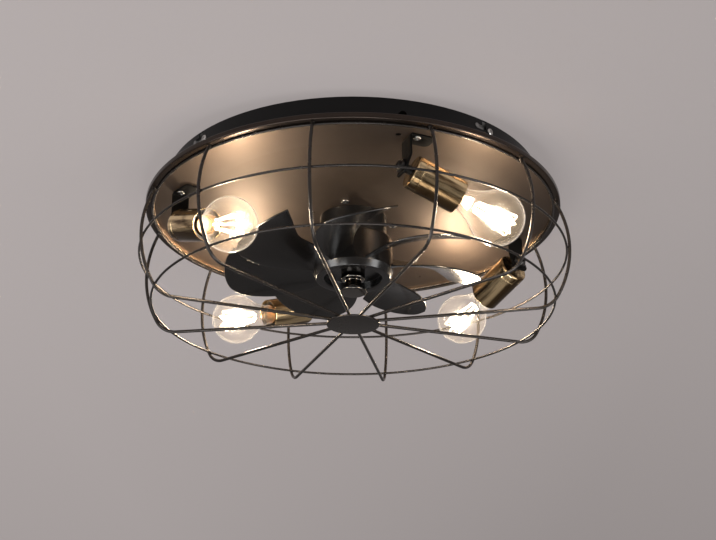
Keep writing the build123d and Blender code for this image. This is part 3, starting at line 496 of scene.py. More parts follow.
# A brighter copy of the bronze for the rim's inner lip: a painted highlight for the line of light along it.
lip_highlight_bronze = finish("reflector_edge_bronze", (0.52, 0.41, 0.3), (0.38, 0.29, 0.21), metal=1.0, rough=0.22)
brass = finish("antique_brass", (0.95, 0.73, 0.42), (0.09, 0.05, 0.02), metal=1.0, rough=0.19, vary=0.07,
               grain=900.0, bump=0.16, patches=85.0, amount=0.95, stretch=(1, 1, 0.1), own=True,
               contrast=(0.44, 0.6))
blade_plastic = finish("blade_plastic", (0.0035, 0.0032, 0.0031), (0.005, 0.0046, 0.0044), rough=0.22,
                       vary=0.05, grain=500.0, bump=0.02, sheen_level=0.8)
nut_chrome = finish("dark_chrome", (0.2, 0.185, 0.17), (0.15, 0.138, 0.128), metal=1.0, rough=0.13,
                    vary=0.02, bump=0.02)
bright_steel = finish("bright_screw_steel", (0.66, 0.65, 0.63), (0.45, 0.44, 0.42), metal=1.0, rough=0.22,
                      patches=300.0)
zinc_steel = finish("zinc_plated_steel", (0.3, 0.3, 0.29), (0.22, 0.22, 0.23), metal=1.0, rough=0.36,
                    patches=90.0)
dark_zinc = finish("dark_zinc_steel", (0.12, 0.115, 0.11), (0.07, 0.065, 0.06), metal=1.0, rough=0.3,
                   patches=300.0)
gear_plastic = finish("pale_gear_plastic", (0.74, 0.73, 0.7), (0.68, 0.67, 0.64), rough=0.48, bump=0.08)
lamination = finish("stator_lamination", (0.36, 0.36, 0.37), (0.22, 0.22, 0.23), metal=1.0, rough=0.42,
                    patches=20.0, stretch=(1, 1, 90))
copper_wire = finish("enamelled_copper", (0.62, 0.27, 0.12), (0.42, 0.16, 0.07), metal=1.0, rough=0.28,
                     patches=20.0, stretch=(3, 3, 80))
rotor_steel = finish("drawn_rotor_steel", (0.5, 0.5, 0.5), (0.4, 0.4, 0.41), metal=1.0, rough=0.34,
                     patches=18.0, stretch=(1, 1, 22))
ferrite = finish("magnet_ferrite", (0.07, 0.07, 0.072), (0.11, 0.11, 0.112), rough=0.62, bump=0.2)
holder_plastic = finish("lampholder_plastic", (0.005, 0.0045, 0.0042), (0.009, 0.008, 0.0075), rough=0.33,
                        sheen_level=0.25)
cap_metal = finish("bulb_cap_metal", (0.85, 0.6, 0.36), (0.6, 0.4, 0.22), metal=1.0, rough=0.2,
                   patches=60.0)
CAD_FINISH = {
    "black_paint": black_paint, "bronze_paint": bronze_paint, "zinc_steel": zinc_steel,
    "bright_steel": bright_steel, "gear_plastic": gear_plastic, "lamination_steel": lamination,
    "copper_wire": copper_wire, "rotor_steel": rotor_steel, "magnet_ferrite": ferrite,
    "blade_plastic": blade_plastic, "dark_chrome": nut_chrome, "antique_brass": brass,
    "holder_plastic": holder_plastic, "cap_nickel": cap_metal,
}
print("finishes", len(CAD_FINISH))


# %% [markdown]
# ## Clear glass and glowing filaments
#
# The bulbs are clear and lit. Thin glass hardly bends what is behind it, so it is a clear shader with a
# mirror laid over it, which brightens towards the outline as real glass does. A refracting shader would be
# the exact way, but in a wall this thin it costs noise and shows the same picture. A little translucency
# stands for the haze that a lit bulb shows, and a faint painted glow at the outline stands for the light
# that travels round inside the glass. The filaments simply give off warm light.

# %% Glass and glow
def glass(name, haze, outline):
    """
    Thin clear glass. Its mirror follows Schlick's rule from the Layer Weight, because a Fresnel node takes
    the inside of a straight-through wall for the inside of a solid block, and mirrors all of it. The inner
    wall, which is the second half of the UV map, is blurred, so that it shows the filaments as a soft halo.
    Outline is the strength of a painted glow that brightens the glass towards its outline.
    """
    mat, tree, solid = new_material(name)
    tree.nodes.remove(solid)
    clear = add(tree, "ShaderNodeBsdfTransparent", {"Color": (0.995, 0.99, 0.985, 1)})
    cloud = add(tree, "ShaderNodeBsdfTranslucent", {"Color": (1.0, 0.9, 0.76, 1)})
    body = add(tree, "ShaderNodeMixShader", {"Fac": haze, 1: clear, 2: cloud})
    facing = add(tree, "ShaderNodeLayerWeight", {"Blend": 0.5}).outputs["Facing"]
    steep = maths(tree, "POWER", facing, 5.0)
    mirror = maths(tree, "MULTIPLY_ADD", steep, 0.9, 0.025)
    # Painted light: a glow that grows towards the glass's outline, where it faces away.
    painted_edge_glow = maths(tree, "MULTIPLY", steep, outline)
    lit = add(tree, "ShaderNodeEmission", {"Color": (1.0, 0.9, 0.8, 1), "Strength": painted_edge_glow})
    uv = tree.nodes.new("ShaderNodeTexCoord").outputs["UV"]
    across_wall = add(tree, "ShaderNodeSeparateXYZ", {"Vector": uv}).outputs["Y"]
    blur = add(tree, "ShaderNodeMapRange", {
        "Value": across_wall, "From Min": 0.48, "From Max": 0.52, "To Min": 0.03, "To Max": 0.3,
    })
    blur.interpolation_type = "SMOOTHSTEP"
    gloss = add(tree, "ShaderNodeBsdfGlossy", {"Roughness": blur})
    mix = add(tree, "ShaderNodeMixShader", {"Fac": mirror, 1: body, 2: gloss})
    both = add(tree, "ShaderNodeAddShader", {0: mix, 1: lit})
    feed(tree, tree.nodes["Material Output"], {"Surface": both})
    return mat


bulb_glass = glass("clear_bulb_glass", 0.0032, 0.18)
stem_glass = glass("stem_glass", 0.006, 0.2)
filament_glow, glow_tree, glow_shader = new_material("filament_glow")
feed(glow_tree, glow_shader, {
    "Base Color": (0.8, 0.7, 0.5, 1), "Emission Color": (1.0, 0.83, 0.6, 1), "Emission Strength": 9.0,
})
CAD_FINISH["clear_glass"] = bulb_glass
CAD_FINISH["filament_glass"] = filament_glow
print("glass and glow", bulb_glass.name, stem_glass.name, filament_glow.name)

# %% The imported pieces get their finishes
for sub in frame["record"]["subparts"]:
    node = frame["nodes"][sub["node"]]
    node.data.materials.clear()
    node.data.materials.append(CAD_FINISH[sub["material_slot"]])
print("nodes with a finish", len(frame["nodes"]))

# %% [markdown]
# ## The canopy drum, the rim and the motor's case
#
# The drum is spun from sheet, with four bayonet slots, four screw holes and one round knock-out. The slots
# could be drawn into a grid of faces, but cutting them with a boolean keeps the wall truly round.

# %% Cutting holes
CUT_REACH = 8     # a cutter goes this far into and out of the drum's wall


def baked(obj):
    """Turns a piece's modifiers into its mesh."""
    bpy.context.view_layer.update()
    graph = bpy.context.evaluated_depsgraph_get()
    mesh = bpy.data.meshes.new_from_object(obj.evaluated_get(graph), depsgraph=graph)
    mesh.name = obj.name
    obj.modifiers.clear()
    obj.data = mesh


def cut(obj, *cutters):
    """Takes the cutters away from a piece."""
    for cutter in cutters:
        step = obj.modifiers.new("cut", "BOOLEAN")
        step.object = cutter
        step.solver = "EXACT"
    baked(obj)
    for cutter in cutters:
        bpy.data.objects.remove(cutter)


def pin(radius, place):
    """A round cutter along Z."""
    outline = [(0, -CUT_REACH), (radius, -CUT_REACH), (radius, CUT_REACH), (0, CUT_REACH)]
    return turned("cutter", outline, 32, place)


def with_poles(rows, y=0):
    """The rows with a point at each end, level with the end row, which closes the skin."""
    return [[(0, y, rows[0][0][2])]] + rows + [[(0, y, rows[-1][0][2])]]


def outwards(bearing, radius, height):
    """A place on the drum's wall with Z pointing outwards."""
    return turn(bearing) @ shift(0, -radius, height) @ Matrix.Rotation(radians(90), 4, "X")


# %% Canopy drum
FIRST_SLOT = -49.4                        # the bearing of a bayonet slot, in degrees
SCREW_STEP, SIDE_SCREW_Z = 2.0, -11.5     # how far round from its slot a side screw is, and its height


def arc(x, y, radius, *angles):
    """Points on a circle about (x, y), at angles in degrees."""
    return [(x + radius * cos(radians(a)), y + radius * sin(radians(a))) for a in angles]


flange_top, inside, flange_r, bend = FLANGE_Z + SHEET, DRUM_R - SHEET, 246.7, 3.6
drum_outline = [
    (inside, 0), (DRUM_R, 0), (DRUM_R, flange_top, bend), (flange_r, flange_top), (flange_r, FLANGE_Z),
    (inside, FLANGE_Z, bend + SHEET),
]
drum = turned("canopy_drum_shell", rounded(drum_outline, 0.4, 5), 256)
half, foot, low = 3, -11.3, -9     # the slot's half width, where its foot ends, and the foot's height
slot_shape = [(-half, 10), (half, 10), (half, low)] + arc(0, low, half, -30, -60, -90)
slot_shape += [(foot, low - half)] + arc(foot, low, half, 240, 210, 180, 150, 120)
slot_shape += [(foot, low + half), (-half, low + half)]
slot_rows = with_poles([[(x, y, z) for x, y in slot_shape] for z in (-CUT_REACH, CUT_REACH)], y=-2)
cutters = [pin(5.2, outwards(14.0, DRUM_R, -19.0))]
for k in range(4):
    slot = 90 * k + FIRST_SLOT
    cutters.append(pin(2.25, outwards(slot + SCREW_STEP, DRUM_R, SIDE_SCREW_Z)))
    cutters.append(skin("cutter", slot_rows, place=outwards(slot, DRUM_R, 0)))
cut(drum, *cutters)
smooth(drum.data, 30)
keep(drum, black_paint, "black_paint", "canopy_drum")

# %% Rim and motor case
LIP_R = 238.15
rim_outline = [
    (243, -33.2), (243, -32.0), (RIM_R, -32.0, 1.6), (RIM_R, RIM_Z, 1.9), (LIP_R, RIM_Z, 0.5),
    (LIP_R, REFLECTOR_Z), (238.9, REFLECTOR_Z), (238.9, -37.7, 0.6), (246.8, -37.7, 0.6),
    (246.8, -33.2, 0.3),
]
rim = turned("rolled_rim", rounded(rim_outline, 0.25, 4), 256)
keep(rim, rim_paint, "bronze_paint", "rim_ring")
# The inner lip takes the brighter bronze: a painted highlight along the rim's inner edge.
lip_low = RIM_Z + 0.15
lip_outline = [(237, REFLECTOR_Z), (LIP_R, REFLECTOR_Z), (LIP_R, lip_low, 0.3), (237, lip_low, 0.7)]
lip = turned("rim_inner_lip", rounded(lip_outline, 0.1, 4), 256)
keep(lip, lip_highlight_bronze, "bronze_paint", "rim_ring")
motor_outline = [
    (38, -36.3), (58, -36.3, 0.6), (58, -38.8, 0.6), (MOTOR_R, -38.8), (MOTOR_R, -69.0, 1.8),
    (11, -69.0, 0.6), (11, -101.0, 0.5), (8.05, -101.0), (8.05, -96.0), (5.5, -96.0), (5.5, -74.0),
    (8.05, -74.0), (8.05, -66.5), (38, -66.5, 1.0),
]
motor = turned("motor_case", rounded(motor_outline, 0.3), 128)
keep(motor, black_paint, "black_paint", "motor_housing")

# %% [markdown]
# ## The impeller
#
# This is the piece that takes the most skill on the real fan: a moulding of a hub and seven blades, each
# twisted and curved so that it is steep at the root. A blade follows a rule, so it is made from it. Its
# outline is four smooth edges, the faces between them are blended from those edges, and the height of every
# point comes from how far it lies along and across the blade. Solidify gives it its wall, thicker at the
# root as in a moulding, and Geometry Nodes repeat it about the axis.

# %% Smooth edges through points
def through(points, steps):
    """Evenly spread points on a smooth curve through the given ones."""
    ends = [2 * Vector(points[0]) - Vector(points[1])] + [Vector(p) for p in points]
    ends.append(2 * Vector(points[-1]) - Vector(points[-2]))
    fine = []
    for a, b, c, d in zip(ends, ends[1:], ends[2:], ends[3:]):
        for s in range(16):
            t = s / 16
            fine.append(0.5 * (2 * b + (c - a) * t + (2 * a - 5 * b + 4 * c - d) * t**2
                               + (3 * b - a - 3 * c + d) * t**3))
    fine.append(ends[-2])
    lengths = [0.0]
    for a, b in zip(fine, fine[1:]):
        lengths.append(lengths[-1] + (b - a).length)
    result = []
    for s in range(steps + 1):
        goal = lengths[-1] * s / steps
        i = max(k for k in range(len(fine) - 1) if lengths[k] <= goal + 1e-9)
        share = (goal - lengths[i]) / (lengths[i + 1] - lengths[i])
        result.append(fine[i].lerp(fine[i + 1], share))
    return result


# %% The blade's rule
def plan(share, bearing):
    """A point seen from above, from its share of the blade's length and its bearing."""
    r = HUB_R + (BLADE_R - HUB_R) * share
    return Vector((r * sin(radians(bearing)), -r * cos(radians(bearing))))


def blade_height(x, y):
    """Height of the twisted surface over a plan point."""
    share = (hypot(x, y) - HUB_R) / (BLADE_R - HUB_R)
    front = -21.5 + share * (12.0 + 14.0 * share)
    rear = -54.7 + share * (14.0 + 9.3 * share)
    chord = (degrees(atan2(x, -y)) - front) / (rear - front)
    high, low = -90.0 + 4.5 * share, -109.5 - 3.5 * share
    return high + (low - high) * (chord + 0.4 * chord * (1 - chord))


FRONT = [(-0.03, -22.2), (0.206, -18.5), (0.39, -14.5), (0.674, -4.5), (0.867, 0.0)]
END = [(0.867, 0.0), (0.94, -5.5), (0.982, -12.5), (1.0, -19.5), (0.993, -26.0), (0.931, -32.5)]
REAR = [(0.931, -32.5), (0.83, -36.5), (0.665, -42.0), (0.482, -46.5), (0.252, -50.5), (-0.03, -55.2)]
along, across = 44, 26
front = through([plan(*p) for p in FRONT], along)
rear = through([plan(*p) for p in reversed(REAR)], along)
end = through([plan(*p) for p in END], across)
root = [front[0].lerp(rear[0], s / across) for s in range(across + 1)]
rows = []
for i in range(along + 1):
    u, row = i / along, []
    for j in range(across + 1):
        v = j / across
        spot = front[i] * (1 - v) + rear[i] * v + root[j] * (1 - u) + end[j] * u
        spot -= (front[0] * (1 - u) + front[-1] * u) * (1 - v) + (rear[0] * (1 - u) + rear[-1] * u) * v
        row.append((spot.x, spot.y, blade_height(spot.x, spot.y)))
    rows.append(row)
blade = skin("impeller_blades", rows, around=False)
print("blade faces", len(blade.data.polygons))

# %% Wall, soft edges and root
def soft_edges(obj, width, segments, clamp=True):
    """Bakes a piece with a bevel, in millimetres, on each edge sharper than 50 degrees."""
    edge = obj.modifiers.new("soft edge", "BEVEL")
    edge.width = width * MM
    edge.segments = segments
    edge.limit_method = "ANGLE"
    edge.angle_limit = radians(50)
    edge.use_clamp_overlap = clamp
    baked(obj)


WALL, ROOT_LENGTH = 2.2, 12
THIN = 0.52     # the wall as a share of the thicker one at the root
wall = blade.vertex_groups.new(name="wall")
for vert in blade.data.vertices:
    reach = hypot(vert.co.x, vert.co.y) / MM - HUB_R
    wall.add([vert.index], THIN + (1 - THIN) * max(0.0, 1 - reach / ROOT_LENGTH) ** 2, "REPLACE")
solid = blade.modifiers.new("wall", "SOLIDIFY")
solid.thickness = WALL * MM / THIN
solid.offset = 0
solid.vertex_group = "wall"
soft_edges(blade, 0.75, 3)
blade.vertex_groups.clear()
smooth(blade.data, 50)
print("one blade", len(blade.data.polygons), "faces")


# %% Trees of Geometry Nodes
def new_tree(name, output, inputs):
    """A tree with named inputs and one output, and the sockets that its inputs come from."""
    tree = bpy.data.node_groups.new(name, "GeometryNodeTree")
    for title, kind in inputs.items():
        tree.interface.new_socket(title, in_out="INPUT", socket_type="NodeSocket" + kind)
    tree.interface.new_socket(output, in_out="OUTPUT", socket_type="NodeSocketGeometry")
    return tree, tree.nodes.new("NodeGroupInput").outputs


def end_tree(tree, geometry, material):
    """Makes a tree's copies real, gives them their finish and puts them out."""
    real = add(tree, "GeometryNodeRealizeInstances", {"Geometry": geometry})
    add(tree, "NodeGroupOutput", {
        0: add(tree, "GeometryNodeSetMaterial", {"Geometry": real, "Material": material}),
    })
    print(tree.name, len(tree.nodes), "nodes")


def with_inputs(obj, tree, **values):
    """Runs a tree on a piece with its named inputs set, and keeps the result as its mesh."""
    step = obj.modifiers.new(tree.name, "NODES")
    step.node_group = tree
    for item in tree.interface.items_tree:
        key = item.name.lower().replace(" ", "_")
        if item.item_type == "SOCKET" and item.in_out == "INPUT" and key in values:
            step[item.identifier] = values[key]
    baked(obj)


# %% Copies about the axis
COPIES, given = new_tree("copies_about_the_axis", "Pieces", {
    "Piece": "Geometry", "Count": "Int", "First turn": "Float", "Turn between": "Float",
    "Finish": "Material",
})
points = add(COPIES, "GeometryNodePoints", {"Count": given["Count"]})
number = COPIES.nodes.new("GeometryNodeInputIndex")
angle = maths(COPIES, "MULTIPLY_ADD", number, given["Turn between"], given["First turn"])
spin = add(COPIES, "ShaderNodeCombineXYZ", {"Z": angle})
copies = add(COPIES, "GeometryNodeInstanceOnPoints", {
    "Points": points, "Instance": given["Piece"], "Rotation": spin,
})
end_tree(COPIES, copies, given["Finish"])


def round_the_axis(obj, count, bearing, material):
    """Even copies of a piece about the upright axis, the first of them turned by the bearing."""
    with_inputs(obj, COPIES, count=count, first_turn=radians(bearing), turn_between=2 * pi / count,
                finish=material)


round_the_axis(blade, 7, -30.5, blade_plastic)
print("seven blades", len(blade.data.polygons), "faces")

# %% Hub and spinner nut
hub_outline = [
    (42.4, -71.0, 0.5), (HUB_R, -71.0, 3.0), (HUB_R, -110.0, 1.6), (44.0, -118.5, 1.0),
    (35.0, -118.5, 0.5), (34, -117.5, 0.5), (34, -109.0, 0.8), (4.05, -109.0), (4.05, -106.5),
    (36.5, -106.5), (36.5, -116.0, 0.6), (41.5, -116.0, 0.6), (45.05, -108.0, 0.6), (45.05, -75.1),
    (42.4, -75.1, 0.3),
]
hub = turned("impeller_hub", rounded(hub_outline, 0.2, 4), 160)
keep(hub, blade_plastic, "blade_plastic", "impeller", body="rotor")
keep(blade, None, "blade_plastic", "impeller", body="rotor")
nut_outline = [
    (4.05, -109.0), (14, -109.0), (14, -119.3, 1.4), (9.5, -121.0, 0.8), (9.5, -129.4, 1.0),
    (11.2, -131.5, 1.0), (15.2, -132.3, 0.7), (16, -133.6, 0.8), (16, -135.1, 0.7), (15, -136.0, 0.6),
    (0, -136.0), (0, -130.1), (3.45, -130.1), (3.45, -112.6), (4.05, -112.6),
]
nut = turned("spinner_nut_polished", rounded(nut_outline, 0.3, 4), 128)
keep(nut, nut_chrome, "dark_chrome", "spinner_nut", body="rotor")

# %% [markdown]
# ## The wire cage
#
# Twelve bent wires run from the rim to a disc below the rotor, and three wire rings hold them apart. A wire
# is a curve with a round section, so Geometry Nodes sweep a circle along it and repeat it twelve times. A
# small bead marks each place where a rib is welded to a ring, because wires that only pass each other look
# as if they were floating.

# %% Wires
WIRE, given = new_tree("wire_along_a_path", "Wire", {
    "Path": "Geometry", "Wire radius": "Float", "Sides": "Int", "Finish": "Material",
})
curve = add(WIRE, "GeometryNodeMeshToCurve", {"Mesh": given["Path"]})
section = add(WIRE, "GeometryNodeCurvePrimitiveCircle", {
    "Resolution": given["Sides"], "Radius": given["Wire radius"],
})
sweep = add(WIRE, "GeometryNodeCurveToMesh", {
    "Curve": curve, "Profile Curve": section, "Fill Caps": True,
})
end_tree(WIRE, sweep, given["Finish"])


def wire(name, points, radius, sides=16, loop=False, material=cage_paint):
    """A wire through points in millimetres."""
    edges = [(i, i + 1) for i in range(len(points) - 1)] + ([(len(points) - 1, 0)] if loop else [])
    mesh = bpy.data.meshes.new(name)
    mesh.from_pydata([Vector(p) * MM for p in points], edges, [])
    obj = linked(name, mesh)
    with_inputs(obj, WIRE, wire_radius=radius * MM, sides=sides, finish=material)
    faces_out(obj.data)
    smooth(obj.data, 50)
    return obj


# %% Rings
for ring_name, (radius, height) in (("upper", UPPER_RING), ("middle", MIDDLE_RING), ("lower", LOWER_RING)):
    ring = wire(f"cage_{ring_name}_ring_wire", circle_row(height, radius, 240), RING_R, 14, loop=True)
    keep(ring, None, "black_paint", f"cage_{ring_name}_ring")


# %% A rib's line
RIBS, FIRST_RIB = 12, -9.9
WELD_GAP = 0.1                                      # between a rib's surface and what it is welded to
CORNER_R, FLAT_Z, SLOPE, END_R = 28.0, -170.3, 0.65, 22.0     # the lower corner, and the run to the disc


def rib_line():
    """The bowed side, the bend at the lower corner and the flat run, as (radius, height) points."""
    (ax, ay), (bx, by), (cx, cy) = UPPER_RING, MIDDLE_RING, LOWER_RING
    d = 2 * (ax * (by - cy) + bx * (cy - ay) + cx * (ay - by))
    a, b, c = ax**2 + ay**2, bx**2 + by**2, cx**2 + cy**2
    mx = (a * (by - cy) + b * (cy - ay) + c * (ay - by)) / d
    my = (a * (cx - bx) + b * (ax - cx) + c * (bx - ax)) / d
    bow = hypot(ax - mx, ay - my) + RING_R + RIB_R + WELD_GAP
    last = -radians(90 - SLOPE)
    low = FLAT_Z - CORNER_R * sin(last)
    stop = asin((low - my) / (bow - CORNER_R))
    inner = mx + (bow - CORNER_R) * cos(stop)
    start = asin((RIM_Z + 0.2 - my) / bow)
    line = []
    for s in range(33):
        angle = start + (stop - start) * s / 32
        line.append((mx + bow * cos(angle), my + bow * sin(angle)))
    for s in range(1, 17):
        angle = stop + (last - stop) * s / 16
        line.append((inner + CORNER_R * cos(angle), low + CORNER_R * sin(angle)))
    x, z = line[-1]
    for s in range(1, 9):
        run = (x - END_R) * s / 8
        line.append((x - run, z - run * tan(radians(SLOPE))))
    return line, (mx, my, bow)


RIB_LINE, (BOW_X, BOW_Z, BOW_R) = rib_line()
ribs = wire("cage_ribs", [(0, -r, z) for r, z in RIB_LINE], RIB_R, 16)
round_the_axis(ribs, RIBS, FIRST_RIB, cage_paint)
keep(ribs, None, "black_paint", *[f"cage_ribs_{k}_{k + 6}" for k in range(1, 7)])
disc_top = RIB_LINE[-1][1] - RIB_R - WELD_GAP
disc_outline = [(0, disc_top), (31, disc_top, 0.4), (31, disc_top - 2, 0.9), (0, disc_top - 2)]
disc = turned("cage_centre_disc", rounded(disc_outline, 0.4, 4), 128)
keep(disc, cage_paint, "black_paint", "cage_disc")


# %% Weld beads
def joined(name, *objects):
    """One mesh from several pieces."""
    bm = bmesh.new()
    for obj in objects:
        bm.from_mesh(obj.data)
    mesh = objects[0].data
    bm.to_mesh(mesh)
    bm.free()
    for obj in objects[1:]:
        bpy.data.objects.remove(obj)
    objects[0].name = mesh.name = name
    return objects[0]


beads = []     # each one's radius and height on the cage, its half height and its half width
for ring_r, ring_z in (UPPER_RING, MIDDLE_RING, LOWER_RING):
    angle = atan2(ring_z - BOW_Z, ring_r - BOW_X)
    reach = BOW_R - RIB_R - WELD_GAP
    beads.append((BOW_X + reach * cos(angle), BOW_Z + reach * sin(angle), 1.0, 1.9))
beads.append((RIB_LINE[0][0], RIM_Z - 0.4, 2.6, 2.6))
beads.append((25.0, disc_top + 0.9, 1.5, 3.2))
parts = []
for r, z, tall, wide in beads:
    rows = []
    for s in range(1, 8):
        lift = pi * s / 8
        rows.append([(x, y - r, h) for x, y, h in circle_row(z - tall * cos(lift), wide * sin(lift), 14)])
    parts.append(skin("bead", [[(0, -r, z - tall)]] + rows + [[(0, -r, z + tall)]]))
welds = joined("cage_weld_beads", *parts)
round_the_axis(welds, RIBS, FIRST_RIB, cage_paint)
keep(welds, None, "black_paint")

# %% [markdown]
# ## The lamps
#
# Each lamp is a brass cup on a bent strap, with a black lampholder in it and a screw bulb. The four are the
# same and only point a few degrees apart, as they were tightened. So each piece is made once, upright at
# the origin, and a copy of its mesh is put in each place. The mesh remembers where each point was before
# it was placed, and the brass uses that, so that its streaks run along every cup whatever way it points.

# %% Copies in the four lamp places
def in_lamps(seed, name, material, slot, node):
    """A copy of an upright piece for each lamp, in place of the lamp's CAD node."""
    for k in range(4):
        mesh = seed.data.copy()
        mesh.transform(lamp_axis(k))
        keep(linked(f"{name}_{k + 1}", mesh), material, slot, f"{node}_{k + 1}")
    bpy.data.objects.remove(seed)


# %% Brass cup
cup_outline = [
    (5.05, 0), (CUP_R, 0, 3.4),
    (CUP_R, 9.1, 0.2), (18.62, 9.6, 0.2), (18.62, 10.4, 0.2), (CUP_R, 10.9, 0.2), (CUP_R, CUP_L, 0.45),
    (18.0, CUP_L, 0.45), (18.0, 1.5, 1.2), (5.05, 1.5),
]
cup = turned("cup", rounded(cup_outline, 0.15, 5), 128)
in_lamps(cup, "brass_cup", brass, "antique_brass", "lamp_cup")
thread, thread_low, pitch = [], -17.0, 0.75
for s in range(23):
    thread += [(5.0, thread_low + pitch * s + 0.2), (4.55, thread_low + pitch * s + 0.55)]
nipple_outline = [(3.8, thread_low), (4.7, thread_low)] + thread + [(5, 1.5), (3.8, 1.5)]
nipple = turned("nipple", nipple_outline, 48, angle=20)
in_lamps(nipple, "cup_nipple", dark_zinc, "antique_brass", "lamp_cup")

# %% Lampholder
holder_outline = [
    (5, 1.5), (15.7, 1.5, 0.5), (17.7, 3.5, 0.5), (17.7, 55, 1.1), (13.9, 55, 0.5), (13.1, 54.2, 0.3),
    (13.1, 30), (0, 30), (0, 26), (13.1, 26), (13.1, 4), (5, 4),
]
holder = turned("holder", rounded(holder_outline, 0.2, 4), 96)
in_lamps(holder, "lampholder_moulding", holder_plastic, "holder_plastic", "lampholder")

# %% Screw cap with its rolled thread
def thread_row(z, radius, depth, pitch=3.62, steps=72):
    """A row of points whose radius follows a rolled thread."""
    waves = [0.5 - 0.5 * cos(2 * pi * (z / pitch - s / steps)) for s in range(steps)]
    return level_row(z, [radius - depth * (1 - wave) for wave in waves])


base = ((3.4, 30.1), (4.2, 30.7), (4.5, 31.3), (9.6, 33.2), (11.4, 34.0), (12.2, 35.0))
mouth = ((12.6, 55.2), (12.7, 58.4), (12.4, 59.0), (12.4, 50.2))
cap_rows = [[(0, 0, 30.1)]] + [circle_row(z, r) for r, z in base]
for i in range(73):
    fade = min(1.0, i / 8, (72 - i) / 8)
    cap_rows.append(thread_row(35.4 + 19.4 * i / 72, 13.0 - 0.45 * (1 - fade), 0.9 * fade))
cap_rows += [circle_row(z, r) for r, z in mouth] + [[(0, 0, 50.0)]]
cap = skin("cap", cap_rows, angle=60)
in_lamps(cap, "bulb_screw_cap", cap_metal, "cap_nickel", "bulb_cap")


# %% Bulb glass
def bulb_line():
    """The envelope's outside from the neck to the tip, as (radius, height) points."""
    ball, centre, meet = 31.5, CUP_L + 48.5, radians(50)
    knots = [Vector((12.3, 61.0)), Vector((13.2, 66.0)),
             Vector((ball * sin(meet), centre - ball * cos(meet)))]
    slopes = [Vector((0, 5.0)), Vector((3.6, 11.5)), Vector((cos(meet), sin(meet))) * 26.0]
    line = [(12.3, 51.0), (12.3, 56.0)]
    for a, b, sa, sb in zip(knots, knots[1:], slopes, slopes[1:]):
        for s in range(10):
            t = s / 10
            spot = a * (2 * t**3 - 3 * t**2 + 1) + sa * (t**3 - 2 * t**2 + t)
            spot += b * (3 * t**2 - 2 * t**3) + sb * (t**3 - t**2)
            line.append(tuple(spot))
    for s in range(29):
        a = meet + (pi - meet) * s / 28
        line.append((ball * sin(a) if s < 28 else 0.0, centre - ball * cos(a)))
    return line


outer, inner, glass_wall = bulb_line(), [], 0.8
for i in range(1, len(outer) - 1):
    along_wall = (Vector(outer[i + 1]) - Vector(outer[i - 1])).normalized()
    inner.append((outer[i][0] - glass_wall * along_wall.y, outer[i][1] + glass_wall * along_wall.x))
inner = [(11.5, 51.0)] + inner + [(0.0, outer[-1][1] - glass_wall)]
envelope = turned("envelope", outer + inner[::-1], 96, angle=70)
in_lamps(envelope, "bulb_envelope", bulb_glass, "clear_glass", "bulb_glass")

# %% Stem
stem_line = through([(9.5, 50), (9.3, 58), (6.2, 65), (3.2, 73), (2.3, 79), (1.5, 84), (1.3, 92)], 26)
stem_line = [(0, 50)] + [tuple(p) for p in stem_line] + [(1.3, 125), (1.9, 126.2), (1.4, 127), (0, 127)]
stem = turned("stem", stem_line, 48, angle=50)
in_lamps(stem, "bulb_glass_stem", stem_glass, "filament_glass", "bulb_stem")

# %% Filaments, six about the stem
HOOK_R = 0.35
sway = [(6.0, 0, 82.5), (7.3, 0.5, 93), (8.9, -0.4, 104), (10.6, 0.4, 115), (12.4, 0, 125)]
hook_line = [(1.0, 0, 126.0), (6.5, 0, 126.4), (11.2, 0, 127.6), (12.6, 0, 127.0), (12.9, 0, 125.6),
             (12.3, 0, 124.6)]
foot_line = [(1.4, 0, 80.5), (4.0, 0, 80.9), (6.0, 0, 82.6)]
strand = wire("strand", sway, 0.95, 10, material=filament_glow)
hook = wire("hook", hook_line, HOOK_R, 8, material=filament_glow)
foot_wire = wire("foot", foot_line, HOOK_R, 8, material=filament_glow)
strand = joined("filaments", strand, hook, foot_wire)
round_the_axis(strand, 6, 45, filament_glow)
in_lamps(strand, "bulb_filaments", None, "filament_glass", "bulb_stem")

# %% [markdown]
# ## Screws and nuts
#
# Small fixings repeat at places that don't follow one circle, so their places are the points of a small
# mesh, each with the turn of its fixing as an attribute. Geometry Nodes put a copy of one fixing on each
# point. The cross recess is cut from the head, and every head stands at its own angle, as screws do.

# %% Fixings on points
FIXINGS, given = new_tree("fixings_on_points", "Fixings", {
    "Places": "Geometry", "Fixing": "Object", "Size": "Float", "Finish": "Material",
})
turns = add(FIXINGS, "GeometryNodeInputNamedAttribute", {"Name": "turn"})
turns.data_type = "FLOAT_VECTOR"
one = add(FIXINGS, "GeometryNodeObjectInfo", {"Object": given["Fixing"], "As Instance": True})
copies = add(FIXINGS, "GeometryNodeInstanceOnPoints", {
    "Points": given["Places"], "Instance": one.outputs["Geometry"], "Rotation": turns.outputs["Attribute"],
    "Scale": given["Size"],
})
end_tree(FIXINGS, copies, given["Finish"])


def fixings(name, fixing, places, node, material=bright_steel):
    """Copies of one fixing at the given places, kept in place of a CAD node."""
    mesh = bpy.data.meshes.new(name)
    mesh.from_pydata([p.to_translation() for p in places], [], [])
    turns = mesh.attributes.new("turn", "FLOAT_VECTOR", "POINT")
    for spot, p in zip(turns.data, places):
        spot.vector = p.to_euler("XYZ")
    obj = linked(name, mesh)
    with_inputs(obj, FIXINGS, fixing=fixing, size=1.0, finish=material)
    bpy.data.objects.remove(fixing)
    smooth(obj.data, 40)
    keep(obj, None, "bright_steel", node)


